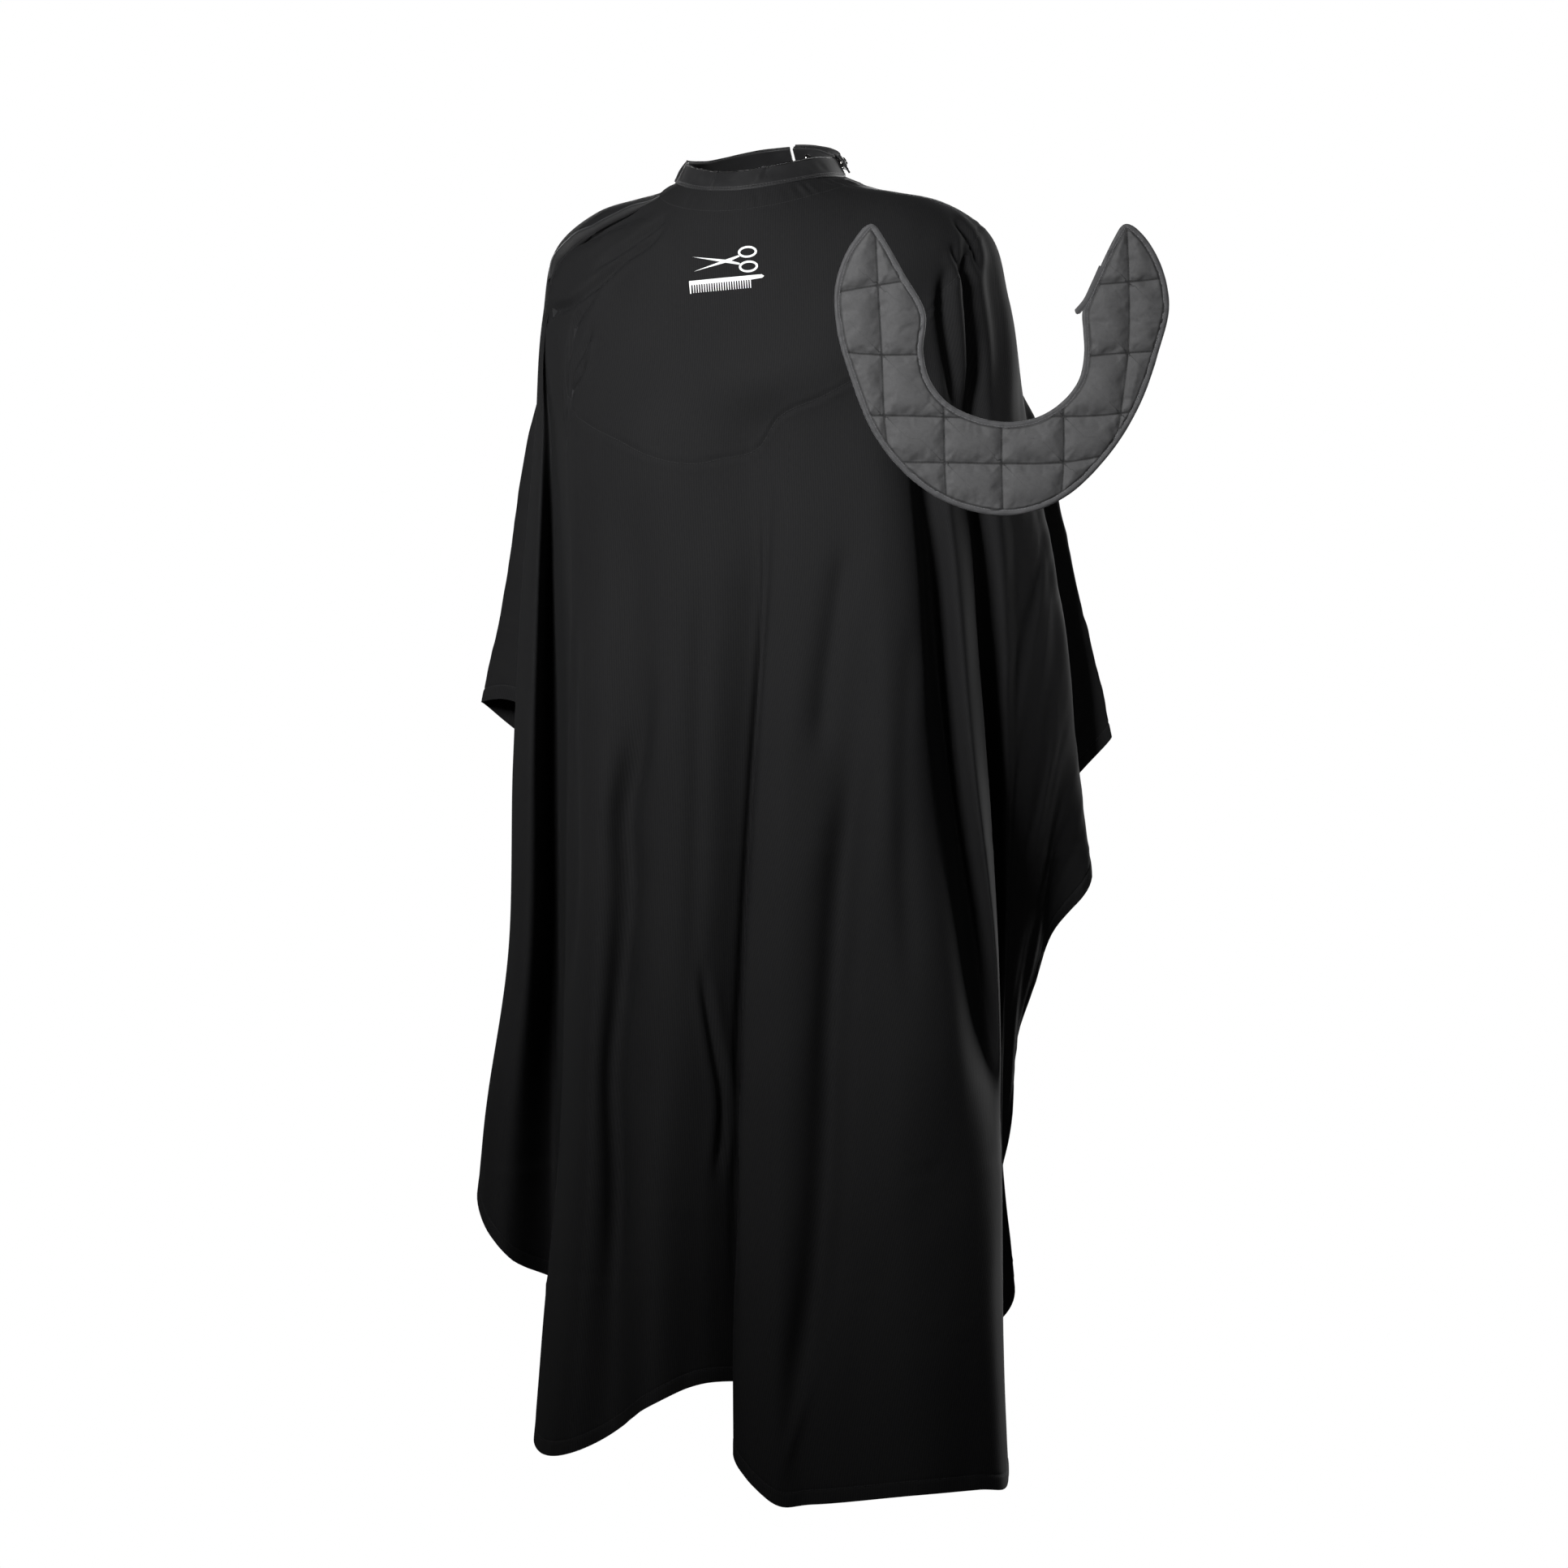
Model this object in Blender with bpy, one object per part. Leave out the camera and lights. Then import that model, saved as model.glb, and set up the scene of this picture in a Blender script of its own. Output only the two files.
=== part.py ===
"""Barber cape with a weighted insert, as worn: hanging from the neckband, empty.

Axes: the wearer faces -Y, the wearer's left is +X, +Z is up. The origin is the middle of the
neck opening, halfway up the neckband. Everything is in metres.
"""
import math

import bmesh
import bpy
import numpy as np
from mathutils import Matrix, Vector

GAP = 0.0003                      # clearance between pieces that touch

# ------------------------------------------------------------------ materials
BLACK_CLOTH = ("black_cloth", (0.012, 0.012, 0.013), 0.62, 0.0)
BAND_CLOTH = ("band_satin", (0.014, 0.014, 0.015), 0.42, 0.0)
STIFFENER = ("stiffener", (0.55, 0.55, 0.53), 0.80, 0.0)
FACING_CLOTH = ("facing_cloth", (0.016, 0.016, 0.017), 0.70, 0.0)
SNAP_METAL = ("snap_metal", (0.72, 0.72, 0.71), 0.22, 1.0)
GREY_NYLON = ("grey_nylon", (0.085, 0.085, 0.087), 0.55, 0.0)
GREY_BINDING = ("grey_binding", (0.065, 0.065, 0.067), 0.60, 0.0)
GLASS_BEADS = ("glass_beads", (0.80, 0.82, 0.82), 0.30, 0.0)

# ------------------------------------------------------------- the cape's drape
# The folds are laid out in axes turned about Z: "across" runs to the right and "toward" comes
# forward, as seen by somebody who stands a little to the wearer's left of straight ahead.
TURN = math.radians(26.0)
SEAM_DROP = 0.030                 # front of the neck seam below the origin
FOLD_LEVELS = (-0.25, -0.40, -0.60, -0.80, -1.00, -1.20, -1.38)

# One row for each fold line, from the right edge of the back slit round the front to its left
# edge: the height where the cloth ends, and where the line hangs (across, toward) at each of
# FOLD_LEVELS. Heights are from the front of the neck seam.
FOLD_LINES = (
    # back, wearer's right
    (-0.235, ((.057, -.128), (.057, -.132), (.057, -.134), (.057, -.134), (.057, -.134), (.057, -.134),
              (.057, -.134))),
    (-0.250, ((-.033, -.176), (-.034, -.182), (-.034, -.184), (-.034, -.184), (-.034, -.184),
              (-.034, -.184), (-.034, -.184))),
    (-0.400, ((-.098, -.208), (-.103, -.222), (-.106, -.228), (-.106, -.230), (-.106, -.230),
              (-.106, -.230), (-.106, -.230))),
    (-0.620, ((-.150, -.218), (-.152, -.246), (-.150, -.268), (-.150, -.280), (-.150, -.280),
              (-.150, -.280), (-.150, -.280))),
    # wing over the wearer's right arm, then the falls below it
    (-0.580, ((-.214, -.205), (-.226, -.236), (-.240, -.262), (-.244, -.270), (-.244, -.270),
              (-.244, -.270), (-.244, -.270))),
    (-0.532, ((-.250, -.170), (-.274, -.200), (-.312, -.238), (-.316, -.250), (-.316, -.250),
              (-.316, -.250), (-.316, -.250))),
    (-0.600, ((-.232, -.142), (-.236, -.160), (-.236, -.182), (-.236, -.190), (-.236, -.190),
              (-.236, -.190), (-.236, -.190))),
    (-0.770, ((-.240, -.118), (-.250, -.130), (-.256, -.146), (-.258, -.165), (-.256, -.175),
              (-.256, -.175), (-.256, -.175))),
    (-0.890, ((-.228, -.095), (-.226, -.100), (-.206, -.108), (-.184, -.130), (-.172, -.146),
              (-.170, -.150), (-.170, -.150))),
    (-1.095, ((-.240, -.070), (-.253, -.078), (-.266, -.088), (-.275, -.096), (-.299, -.104),
              (-.316, -.108), (-.316, -.108))),
    (-1.165, ((-.214, -.020), (-.208, -.034), (-.196, -.050), (-.180, -.064), (-.164, -.076),
              (-.154, -.082), (-.150, -.084))),
    # front, the lobe on the wearer's right
    (-1.312, ((-.190, .052), (-.193, .048), (-.200, .040), (-.204, .036), (-.211, .034), (-.230, .032),
              (-.244, .030))),
    (-1.320, ((-.160, .086), (-.163, .090), (-.168, .094), (-.172, .096), (-.178, .100), (-.190, .102),
              (-.205, .102))),
    (-1.300, ((-.132, .106), (-.133, .104), (-.138, .100), (-.142, .098), (-.146, .096), (-.152, .096),
              (-.158, .096))),
    (-1.268, ((-.100, .120), (-.100, .126), (-.102, .130), (-.103, .132), (-.106, .134), (-.112, .136),
              (-.118, .136))),
    (-1.246, ((-.055, .132), (-.055, .140), (-.056, .140), (-.058, .134), (-.060, .124), (-.058, .112),
              (-.054, .104))),
    # the fold down the middle of the front: its valley, then its crest
    (-1.262, ((-.010, .140), (-.004, .144), (.002, .126), (.010, .100), (.022, .076), (.034, .056),
              (.040, .046))),
    (-1.318, ((.014, .147), (.007, .154), (-.006, .160), (-.017, .165), (-.024, .170), (-.028, .174),
              (-.029, .177))),
    # front, the lobe on the wearer's left
    (-1.350, ((.036, .155), (.032, .166), (.026, .178), (.020, .186), (.014, .192), (.010, .198),
              (.010, .202))),
    (-1.353, ((.085, .166), (.090, .172), (.090, .174), (.080, .178), (.066, .184), (.056, .192),
              (.056, .198))),
    (-1.344, ((.125, .170), (.131, .178), (.137, .188), (.137, .196), (.130, .202), (.124, .207),
              (.122, .210))),
    (-1.338, ((.150, .160), (.162, .166), (.174, .168), (.184, .170), (.188, .176), (.186, .182),
              (.184, .184))),
    # two deep valleys with a narrow crest between them
    (-1.340, ((.165, .140), (.177, .120), (.189, .100), (.202, .090), (.212, .102), (.220, .130),
              (.224, .140))),
    (-1.335, ((.192, .138), (.204, .144), (.218, .150), (.233, .148), (.246, .140), (.250, .126),
              (.252, .122))),
    (-1.308, ((.208, .120), (.220, .118), (.234, .118), (.246, .112), (.255, .100), (.259, .086),
              (.262, .082))),
    (-1.235, ((.216, .098), (.223, .076), (.226, .050), (.216, .026), (.190, .006), (.166, -.010),
              (.160, -.014))),
    # falls under the wearer's left arm, then the wing over it
    (-1.160, ((.240, .100), (.252, .092), (.264, .080), (.262, .054), (.260, .024), (.268, .004),
              (.270, .004))),
    (-1.040, ((.254, .088), (.270, .074), (.272, .042), (.226, -.002), (.190, -.034), (.180, -.044),
              (.180, -.044))),
    (-0.938, ((.264, .076), (.286, .062), (.296, .034), (.270, -.006), (.267, -.040), (.267, -.044),
              (.267, -.044))),
    (-0.868, ((.268, .068), (.294, .056), (.306, .030), (.272, -.004), (.258, -.026), (.258, -.026),
              (.258, -.026))),
    (-0.785, ((.272, .058), (.302, .048), (.320, .026), (.304, -.004), (.300, -.020), (.300, -.020),
              (.300, -.020))),
    (-0.716, ((.278, .042), (.312, .034), (.336, .014), (.358, -.008), (.358, -.008), (.358, -.008),
              (.358, -.008))),
    (-0.640, ((.280, .016), (.310, .002), (.318, -.028), (.318, -.044), (.318, -.044), (.318, -.044),
              (.318, -.044))),
    (-0.570, ((.296, .000), (.332, -.008), (.377, -.026), (.384, -.030), (.384, -.030), (.384, -.030),
              (.384, -.030))),
    (-0.600, ((.282, -.022), (.312, -.036), (.340, -.062), (.344, -.070), (.344, -.070),
              (.344, -.070), (.344, -.070))),
    # back, wearer's left
    (-0.620, ((.256, -.044), (.270, -.062), (.280, -.092), (.280, -.100), (.280, -.100),
              (.280, -.100), (.280, -.100))),
    (-0.400, ((.219, -.068), (.228, -.080), (.230, -.086), (.230, -.086), (.230, -.086),
              (.230, -.086), (.230, -.086))),
    (-0.250, ((.165, -.094), (.166, -.098), (.166, -.100), (.166, -.100), (.166, -.100),
              (.166, -.100), (.166, -.100))),
    (-0.235, ((.066, -.124), (.066, -.128), (.066, -.130), (.066, -.130), (.066, -.130),
              (.066, -.130), (.066, -.130))),
)

# Rings that the cloth follows from the neck seam over the chest, shoulders and back:
# half width, middle y, front y, back y, then heights at front, side and back, then squareness.
SHOULDER_RINGS = (
    (.092, .000, -.084, .088, .000, .017, .034, 2.0),
    (.110, .006, -.093, .104, -.024, .010, .025, 2.0),
    (.146, .014, -.103, .121, -.062, .003, .006, 2.0),
    (.196, .023, -.115, .136, -.108, -.009, -.024, 2.1),
    (.240, .030, -.130, .147, -.154, -.040, -.075, 2.2),
    (.256, .034, -.142, .150, -.200, -.110, -.150, 2.2),
)
TOP_ROWS = (0.0, .022, .048, .078, .110, .142, .175, .210, .250, .300)   # distances below the seam
TOP_SHARE = 0.82                  # most of a column's length that the rows above may take
LOWER_ROWS = 7
CLOTH_HALF = 0.0006               # half the thickness of the hemmed cloth


def smooth_curve(knots, values, where):
    """Cubic curve through values at knots, read at the places in where."""
    knots = np.asarray(knots, float)
    values = np.asarray(values, float)
    slopes = np.gradient(values, knots, axis=0)
    k = np.clip(np.searchsorted(knots, where, side="right") - 1, 0, len(knots) - 2)
    shape = (-1,) + (1,) * (values.ndim - 1)
    h = (knots[k + 1] - knots[k]).reshape(shape)
    t = ((where - knots[k])).reshape(shape) / h
    near = (1 + 2 * t) * (1 - t) ** 2 * values[k] + t * (1 - t) ** 2 * h * slopes[k]
    far = t * t * (3 - 2 * t) * values[k + 1] + t * t * (t - 1) * h * slopes[k + 1]
    return near + far


def ring_points(ring, angle):
    """Points of one shoulder ring; angle 0 is the front and grows to the wearer's left."""
    half, middle, front, back, z_front, z_side, z_back, square = ring
    s = np.sin(angle)
    c = np.cos(angle)
    power = 2.0 / square
    x = half * np.sign(s) * np.abs(s) ** power
    reach = np.where(c > 0, middle - front, back - middle)
    y = middle - reach * np.sign(c) * np.abs(c) ** power
    z = np.where(c > 0, z_front, z_back) * c * c + z_side * s * s
    return np.stack([x, y, z], -1)


def fold_knots():
    """Place of each fold line along the sheet, from 0 to 1."""
    hang = np.array([line[1] for line in FOLD_LINES])
    step = np.linalg.norm(np.diff(hang, axis=0), axis=2).mean(1) + 0.012
    knots = np.concatenate([[0.0], np.cumsum(step)])
    return knots / knots[-1]


def guide_points(places):
    """Guide points of the sheet's columns: (columns, guides, 3), and each column's end height."""
    knots = fold_knots()
    hang = smooth_curve(knots, np.array([line[1] for line in FOLD_LINES]), places)
    ends = smooth_curve(knots, np.array([line[0] for line in FOLD_LINES]), places)
    across = hang[..., 0]
    toward = hang[..., 1]
    x = across * math.cos(TURN) + toward * math.sin(TURN)
    y = across * math.sin(TURN) - toward * math.cos(TURN)
    z = np.broadcast_to(np.array(FOLD_LEVELS), x.shape)
    low = np.stack([x, y, z], -1)
    half, middle, front, back = SHOULDER_RINGS[-1][:4]
    ahead = y[:, 0] - middle
    depth = np.where(ahead < 0, middle - front, back - middle)
    angle = np.unwrap(np.arctan2(x[:, 0] / half, -ahead / depth))
    top = np.stack([ring_points(ring, angle) for ring in SHOULDER_RINGS], 1)
    return np.concatenate([top, low], 1), ends


def column_curve(guides, end, samples=400):
    """One column from the neck seam to its end height, as a dense run of points."""
    lengths = np.linalg.norm(np.diff(guides, axis=0), axis=1)
    knots = np.concatenate([[0.0], np.cumsum(lengths)])
    points = smooth_curve(knots, guides, np.linspace(0.0, knots[-1], samples))
    stop = int(np.argmax(points[:, 2] < end))
    above = points[stop - 1]
    below = points[stop]
    share = (end - above[2]) / (below[2] - above[2])
    return np.concatenate([points[:stop], [above + (below - above) * share]])


def spread(points, distances):
    """Points at the given distances along a run of points."""
    steps = np.linalg.norm(np.diff(points, axis=0), axis=1)
    run = np.concatenate([[0.0], np.cumsum(steps)])
    return np.stack([np.interp(distances, run, points[:, k]) for k in range(3)], -1)


def curve_length(points):
    return float(np.linalg.norm(np.diff(points, axis=0), axis=1).sum())


def grid_normals(grid):
    """Outward normals of a grid of points (columns, rows, 3)."""
    along = np.gradient(grid, axis=0)
    down = np.gradient(grid, axis=1)
    normal = np.cross(down, along)
    return normal / np.linalg.norm(normal, axis=2, keepdims=True)


# --------------------------------------------------------------- mesh helpers
def make_material(spec):
    name, colour, roughness, metallic = spec
    material = bpy.data.materials.get(name)
    if material is None:
        material = bpy.data.materials.new(name)
        material.use_nodes = True
        shader = material.node_tree.nodes["Principled BSDF"]
        shader.inputs["Base Color"].default_value = (*colour, 1.0)
        shader.inputs["Roughness"].default_value = roughness
        shader.inputs["Metallic"].default_value = metallic
    return material


def add_object(name, bm, spec, smooth=True, parent=None):
    bmesh.ops.recalc_face_normals(bm, faces=bm.faces)
    mesh = bpy.data.meshes.new(name)
    bm.to_mesh(mesh)
    bm.free()
    mesh.materials.append(make_material(spec))
    if smooth:
        mesh.shade_smooth()
        mesh.set_sharp_from_angle(angle=math.radians(40.0))
    piece = bpy.data.objects.new(name, mesh)
    bpy.context.scene.collection.objects.link(piece)
    if parent is not None:
        piece.parent = parent
        piece.matrix_parent_inverse = parent.matrix_world.inverted()
    return piece


def add_empty(name, location):
    empty = bpy.data.objects.new(name, None)
    empty.location = location
    bpy.context.scene.collection.objects.link(empty)
    bpy.context.view_layer.update()
    return empty


def plate_from_grids(outer, inner):
    """Closed thin body between two grids of points of the same size."""
    columns, rows = outer.shape[0], outer.shape[1]
    bm = bmesh.new()
    front = [[bm.verts.new(outer[i, j]) for j in range(rows)] for i in range(columns)]
    back = [[bm.verts.new(inner[i, j]) for j in range(rows)] for i in range(columns)]
    for i in range(columns - 1):
        for j in range(rows - 1):
            bm.faces.new((front[i][j], front[i][j + 1], front[i + 1][j + 1], front[i + 1][j]))
            bm.faces.new((back[i][j], back[i + 1][j], back[i + 1][j + 1], back[i][j + 1]))
    for i in range(columns - 1):
        bm.faces.new((front[i][0], front[i + 1][0], back[i + 1][0], back[i][0]))
        bm.faces.new((front[i][-1], back[i][-1], back[i + 1][-1], front[i + 1][-1]))
    for j in range(rows - 1):
        bm.faces.new((front[0][j], back[0][j], back[0][j + 1], front[0][j + 1]))
        bm.faces.new((front[-1][j], front[-1][j + 1], back[-1][j + 1], back[-1][j]))
    bmesh.ops.triangulate(bm, faces=bm.faces)
    return bm


def lathe(profile, segments, frame):
    """Body turned about the frame's Z axis. The profile is a closed loop of (radius, height), or an
    open run that starts and ends on the axis."""
    bm = bmesh.new()
    rings = []
    for radius, height in profile:
        if radius < 1e-9:
            rings.append([bm.verts.new(frame @ Vector((0.0, 0.0, height)))])
            continue
        ring = []
        for k in range(segments):
            a = 2 * math.pi * k / segments
            ring.append(bm.verts.new(frame @ Vector((radius * math.cos(a), radius * math.sin(a), height))))
        rings.append(ring)
    closed = profile[0][0] > 1e-9
    pairs = list(zip(rings, rings[1:]))
    if closed:
        pairs.append((rings[-1], rings[0]))
    for upper, lower in pairs:
        for k in range(segments):
            n = (k + 1) % segments
            corners = [upper[k % len(upper)], upper[n % len(upper)], lower[n % len(lower)],
                       lower[k % len(lower)]]
            corners = list(dict.fromkeys(corners))
            if len(corners) > 2:
                bm.faces.new(corners)
    return bm


# ------------------------------------------------------------------- the cape
def build_cape():
    knots = fold_knots()
    middles = (knots[:-1] + knots[1:]) / 2
    places = np.sort(np.concatenate([knots, middles]))
    guides, ends = guide_points(places)
    columns = []
    for guide, end in zip(guides, ends):
        curve = column_curve(guide, end)
        length = curve_length(curve)
        top = np.array(TOP_ROWS) * min(1.0, TOP_SHARE * length / TOP_ROWS[-1])
        lower = np.linspace(top[-1], length, LOWER_ROWS + 1)[1:]
        columns.append(spread(curve, np.concatenate([top, lower])))
    grid = np.array(columns)
    grid[..., 2] -= SEAM_DROP
    normal = grid_normals(grid)
    bm = plate_from_grids(grid + normal * CLOTH_HALF, grid - normal * CLOTH_HALF)
    return add_object("cape_shell", bm, BLACK_CLOTH)


# The pocket facing lies inside the cape, from just below the neck seam to the stitched outline.
FACING_TOP = 0.022
FACING_FRONT = 0.290              # reach below the seam at the middle of the chest
FACING_SIDE = 0.205
FACING_BACK = 0.165
FACING_INSIDE = (.003, .006, .009)   # distance inside the cape's cloth at the first rows
FACING_HALF = 0.0004
FACING_COLUMNS = 32
FACING_ROWS = 6


def build_facing():
    places = np.linspace(0.035, 0.965, FACING_COLUMNS + 1)
    guides, ends = guide_points(places)
    columns = []
    for guide, end in zip(guides, ends):
        curve = column_curve(guide, end)
        x, y = guide[5][0], guide[5][1]
        frontness = -y / math.hypot(x, y)
        if frontness > 0:
            reach = FACING_SIDE + (FACING_FRONT - FACING_SIDE) * frontness ** 1.5
        else:
            reach = FACING_SIDE + (FACING_BACK - FACING_SIDE) * abs(frontness)
        columns.append(spread(curve, np.linspace(FACING_TOP, reach, FACING_ROWS + 1)))
    grid = np.array(columns)
    grid[..., 2] -= SEAM_DROP
    normal = grid_normals(grid)
    depth = np.full(FACING_ROWS + 1, FACING_INSIDE[-1])
    depth[:len(FACING_INSIDE)] = FACING_INSIDE
    outer = grid - normal * (depth - FACING_HALF)[None, :, None]
    inner = grid - normal * (depth + FACING_HALF)[None, :, None]
    return add_object("pocket_facing", plate_from_grids(outer, inner), FACING_CLOTH)


# --------------------------------------------------------------- the neckband
BAND_HEIGHT = 0.0270              # measured up its slope
BAND_LEAN = math.radians(30.0)    # the band leans in towards the neck
BAND_LIFT = 0.0016                # its lower edge above the middle of the cape's cloth
OUTER_THICK = 0.0009
STIFF_THICK = 0.0006
LINING_THICK = 0.0009
BAND_STOP = 178.5                 # degrees from the front to each end of the band


def band_point(angle, height, outwards):
    """Point of the neckband: angle from the front, height up the slope from its lower edge, and
    distance outside the band's outer face."""
    seam = ring_points(SHOULDER_RINGS[0], np.array([angle]))[0]
    out = np.array([seam[0] / .092, seam[1] / .086, 0.0])
    out /= np.linalg.norm(out)
    up = np.array([0.0, 0.0, math.cos(BAND_LEAN)]) - out * math.sin(BAND_LEAN)
    normal = out * math.cos(BAND_LEAN) + np.array([0.0, 0.0, math.sin(BAND_LEAN)])
    base = seam + np.array([0.0, 0.0, BAND_LIFT - SEAM_DROP])
    return base + up * height + normal * outwards


def band_strip(start, stop, columns, face, thick, low=0.0, high=BAND_HEIGHT, spare=0.0):
    """Closed strip between two angles (degrees), its outer side at face and thick deep."""
    outer = []
    inner = []
    for angle in np.linspace(math.radians(start), math.radians(stop), columns + 1):
        outer.append([band_point(angle, h, face) for h in (high - spare, low + spare)])
        inner.append([band_point(angle, h, face - thick) for h in (high - spare, low + spare)])
    return plate_from_grids(np.array(outer), np.array(inner))


def build_neckband():
    add_object("neckband_outer", band_strip(-BAND_STOP, BAND_STOP, 44, 0.0, OUTER_THICK), BAND_CLOTH)
    face = -(OUTER_THICK + GAP)
    add_object("neckband_interlining",
               band_strip(-BAND_STOP, BAND_STOP, 44, face, STIFF_THICK, spare=0.0015), STIFFENER)
    face -= STIFF_THICK + GAP
    add_object("neckband_lining", band_strip(-BAND_STOP, BAND_STOP, 44, face, LINING_THICK), BAND_CLOTH)
    return face - LINING_THICK


# ------------------------------------------------------ closing tab and snaps
TAB_TIP = 109.0                   # degrees from the front to the tab's free end
TAB_ROOT = 179.0
TAB_LINING_FACE = 0.0050          # outer side of the tab's lining, outside the band
TAB_THICK = 0.0008
SNAP_ANGLES = (115.0, 132.0, 149.0, 166.0)
SNAP_HEIGHT = 0.0145              # middle of the snaps, up the band's slope
SOCKET_PROFILE = ((0.0, .0034), (.0040, .0034), (.0048, .0030), (.0048, .0016), (.0044, .0013),
                  (.0030, .0013), (.0027, .0016), (.0027, .0027), (0.0, .0027))
STUD_PROFILE = ((0.0, .0003), (.0046, .0003), (.0046, .0007), (.0020, .0010), (.0015, .0012),
                (.0018, .0019), (.0013, .0023), (0.0, .0023))
SNAP_CLEAR = 0.0008                # room for the band's curve behind a flat ring
CAP_RING_PROFILE = ((.0027, .0069), (.0032, .0065), (.0046, .0065), (.0052, .0069), (.0050, .0076),
                    (.0042, .0079), (.0034, .0078))
BACK_RING_PROFILE = ((.0026, 0.0), (.0048, 0.0), (.0048, -.0005), (.0040, -.0009), (.0030, -.0008))


def snap_frame(angle_degrees, outwards=0.0):
    """Frame on the band at a snap, with Z along the outward normal."""
    angle = math.radians(angle_degrees)
    centre = Vector(band_point(angle, SNAP_HEIGHT, outwards))
    normal = (Vector(band_point(angle, SNAP_HEIGHT, outwards + 0.01)) - centre).normalized()
    up = (Vector(band_point(angle, SNAP_HEIGHT + 0.01, outwards)) - centre).normalized()
    side = up.cross(normal)
    frame = Matrix((side, up, normal)).transposed().to_4x4()
    frame.translation = centre
    return frame


def build_tab_and_snaps(band_inside):
    hinge = add_empty("tab_hinge", Vector(band_point(math.radians(TAB_ROOT), 0.0, TAB_LINING_FACE)))
    lining = band_strip(TAB_TIP, TAB_ROOT, 14, TAB_LINING_FACE, TAB_THICK, low=0.0010)
    add_object("tab_lining", lining, BAND_CLOTH, parent=hinge)
    outer = band_strip(TAB_TIP, TAB_ROOT, 14, TAB_LINING_FACE + GAP + TAB_THICK, TAB_THICK, low=0.0010)
    add_object("tab_outer", outer, BAND_CLOTH, parent=hinge)
    tip = snap_frame(SNAP_ANGLES[0])
    add_object("tab_snap_socket", lathe(SOCKET_PROFILE, 16, tip), SNAP_METAL, parent=hinge)
    add_object("tab_snap_ring", lathe(CAP_RING_PROFILE, 24, tip), SNAP_METAL, parent=hinge)
    for number, angle in enumerate(SNAP_ANGLES, start=1):
        add_object("stud_%d" % number, lathe(STUD_PROFILE, 14, snap_frame(angle)), SNAP_METAL)
        behind = snap_frame(angle, band_inside - SNAP_CLEAR)
        add_object("stud_ring_%d" % number, lathe(BACK_RING_PROFILE, 14, behind), SNAP_METAL)


# --------------------------------------------------------- the weighted insert
# Flat outline, about the insert's middle: (right, up) as seen from its front.
INSERT_OUTER = (
    (-.163, .121), (-.1745, .086), (-.173, .043), (-.159, -.008), (-.134, -.068),
    (-.108, -.102), (-.070, -.132), (-.035, -.146), (0.0, -.151), (.032, -.146), (.062, -.132),
    (.103, -.094), (.137, -.042), (.159, .018), (.170, .069), (.163, .104), (.147, .134),
)
INSERT_INNER = (
    (.107, .122), (.092, .088), (.081, .058), (.082, .040), (.083, .018), (.077, -.012),
    (.060, -.034), (.034, -.050), (0.0, -.055), (-.031, -.049), (-.060, -.034), (-.079, -.008),
    (-.0845, .018), (-.082, .056), (-.105, .100), (-.123, .132),
)
EDGE_POINTS = 34
INSERT_TIPS = ((-.138, .152), (.125, .152))
TIP_REACH = 0.045                               # the edge runs narrower this near to a point
QUILT_LEVELS = (.083, .016, -.049, -.0945)      # seams that run across
ARM_SEAM_LEFT = -.128                           # seam down the middle of each arm
ARM_SEAM_RIGHT = .131
BOTTOM_SEAMS = (-.064, -.004, .058)             # upright seams across the bottom of the U
INSERT_MIDDLE = (.253, .205, -.191)             # across, toward, height, before the seam drop
INSERT_HALF = 0.0075                            # half the thickness at the middle of a cell
COVER_THICK = 0.0007
BINDING_WIDTH = 0.0050
BINDING_HALF = 0.0016
FILL_MARGIN = 0.0112                            # from the outline to the beads
SEAM_HALF = 0.0022                              # from a quilting seam to the beads
FILL_TOP = 0.126                                # no beads in the points above this
FILL_HALF = 0.0042
FILL_EDGE = 0.0016


def insert_frame():
    """Frame of the insert: X to its right, Y up, Z out of its front."""
    across, toward, height = INSERT_MIDDLE
    right = Vector((math.cos(TURN), math.sin(TURN), 0.0))
    ahead = Vector((math.sin(TURN), -math.cos(TURN), 0.0))
    frame = Matrix((right, Vector((0.0, 0.0, 1.0)), ahead)).transposed().to_4x4()
    frame.translation = right * across + ahead * toward + Vector((0.0, 0.0, height - SEAM_DROP))
    return frame


def run_points(corners, count):
    """count points evenly spaced along a smooth run through corners, both ends included."""
    corners = np.array(corners)
    steps = np.linalg.norm(np.diff(corners, axis=0), axis=1)
    knots = np.concatenate([[0.0], np.cumsum(steps)])
    return smooth_curve(knots, corners, np.linspace(0.0, knots[-1], count))


def outline():
    """Closed outline, counter-clockwise: EDGE_POINTS along the outside from the left tip to the
    right tip, then as many along the inside, less the tips themselves."""
    left, right = INSERT_TIPS
    outside = run_points((left,) + INSERT_OUTER + (right,), EDGE_POINTS)
    inside = run_points((right,) + INSERT_INNER + (left,), EDGE_POINTS)
    return np.concatenate([outside, inside[1:-1]])


def inset(loop, distance):
    """Loop moved inwards by distance, less near the two points (it runs counter-clockwise)."""
    ahead = np.roll(loop, -1, axis=0) - np.roll(loop, 1, axis=0)
    ahead /= np.linalg.norm(ahead, axis=1, keepdims=True)
    from_tip = np.min([np.linalg.norm(loop - np.array(tip), axis=1) for tip in INSERT_TIPS], axis=0)
    share = np.clip(from_tip / TIP_REACH, 0.30, 1.0)[:, None]
    return loop + np.stack([-ahead[:, 1], ahead[:, 0]], -1) * distance * share


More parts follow.
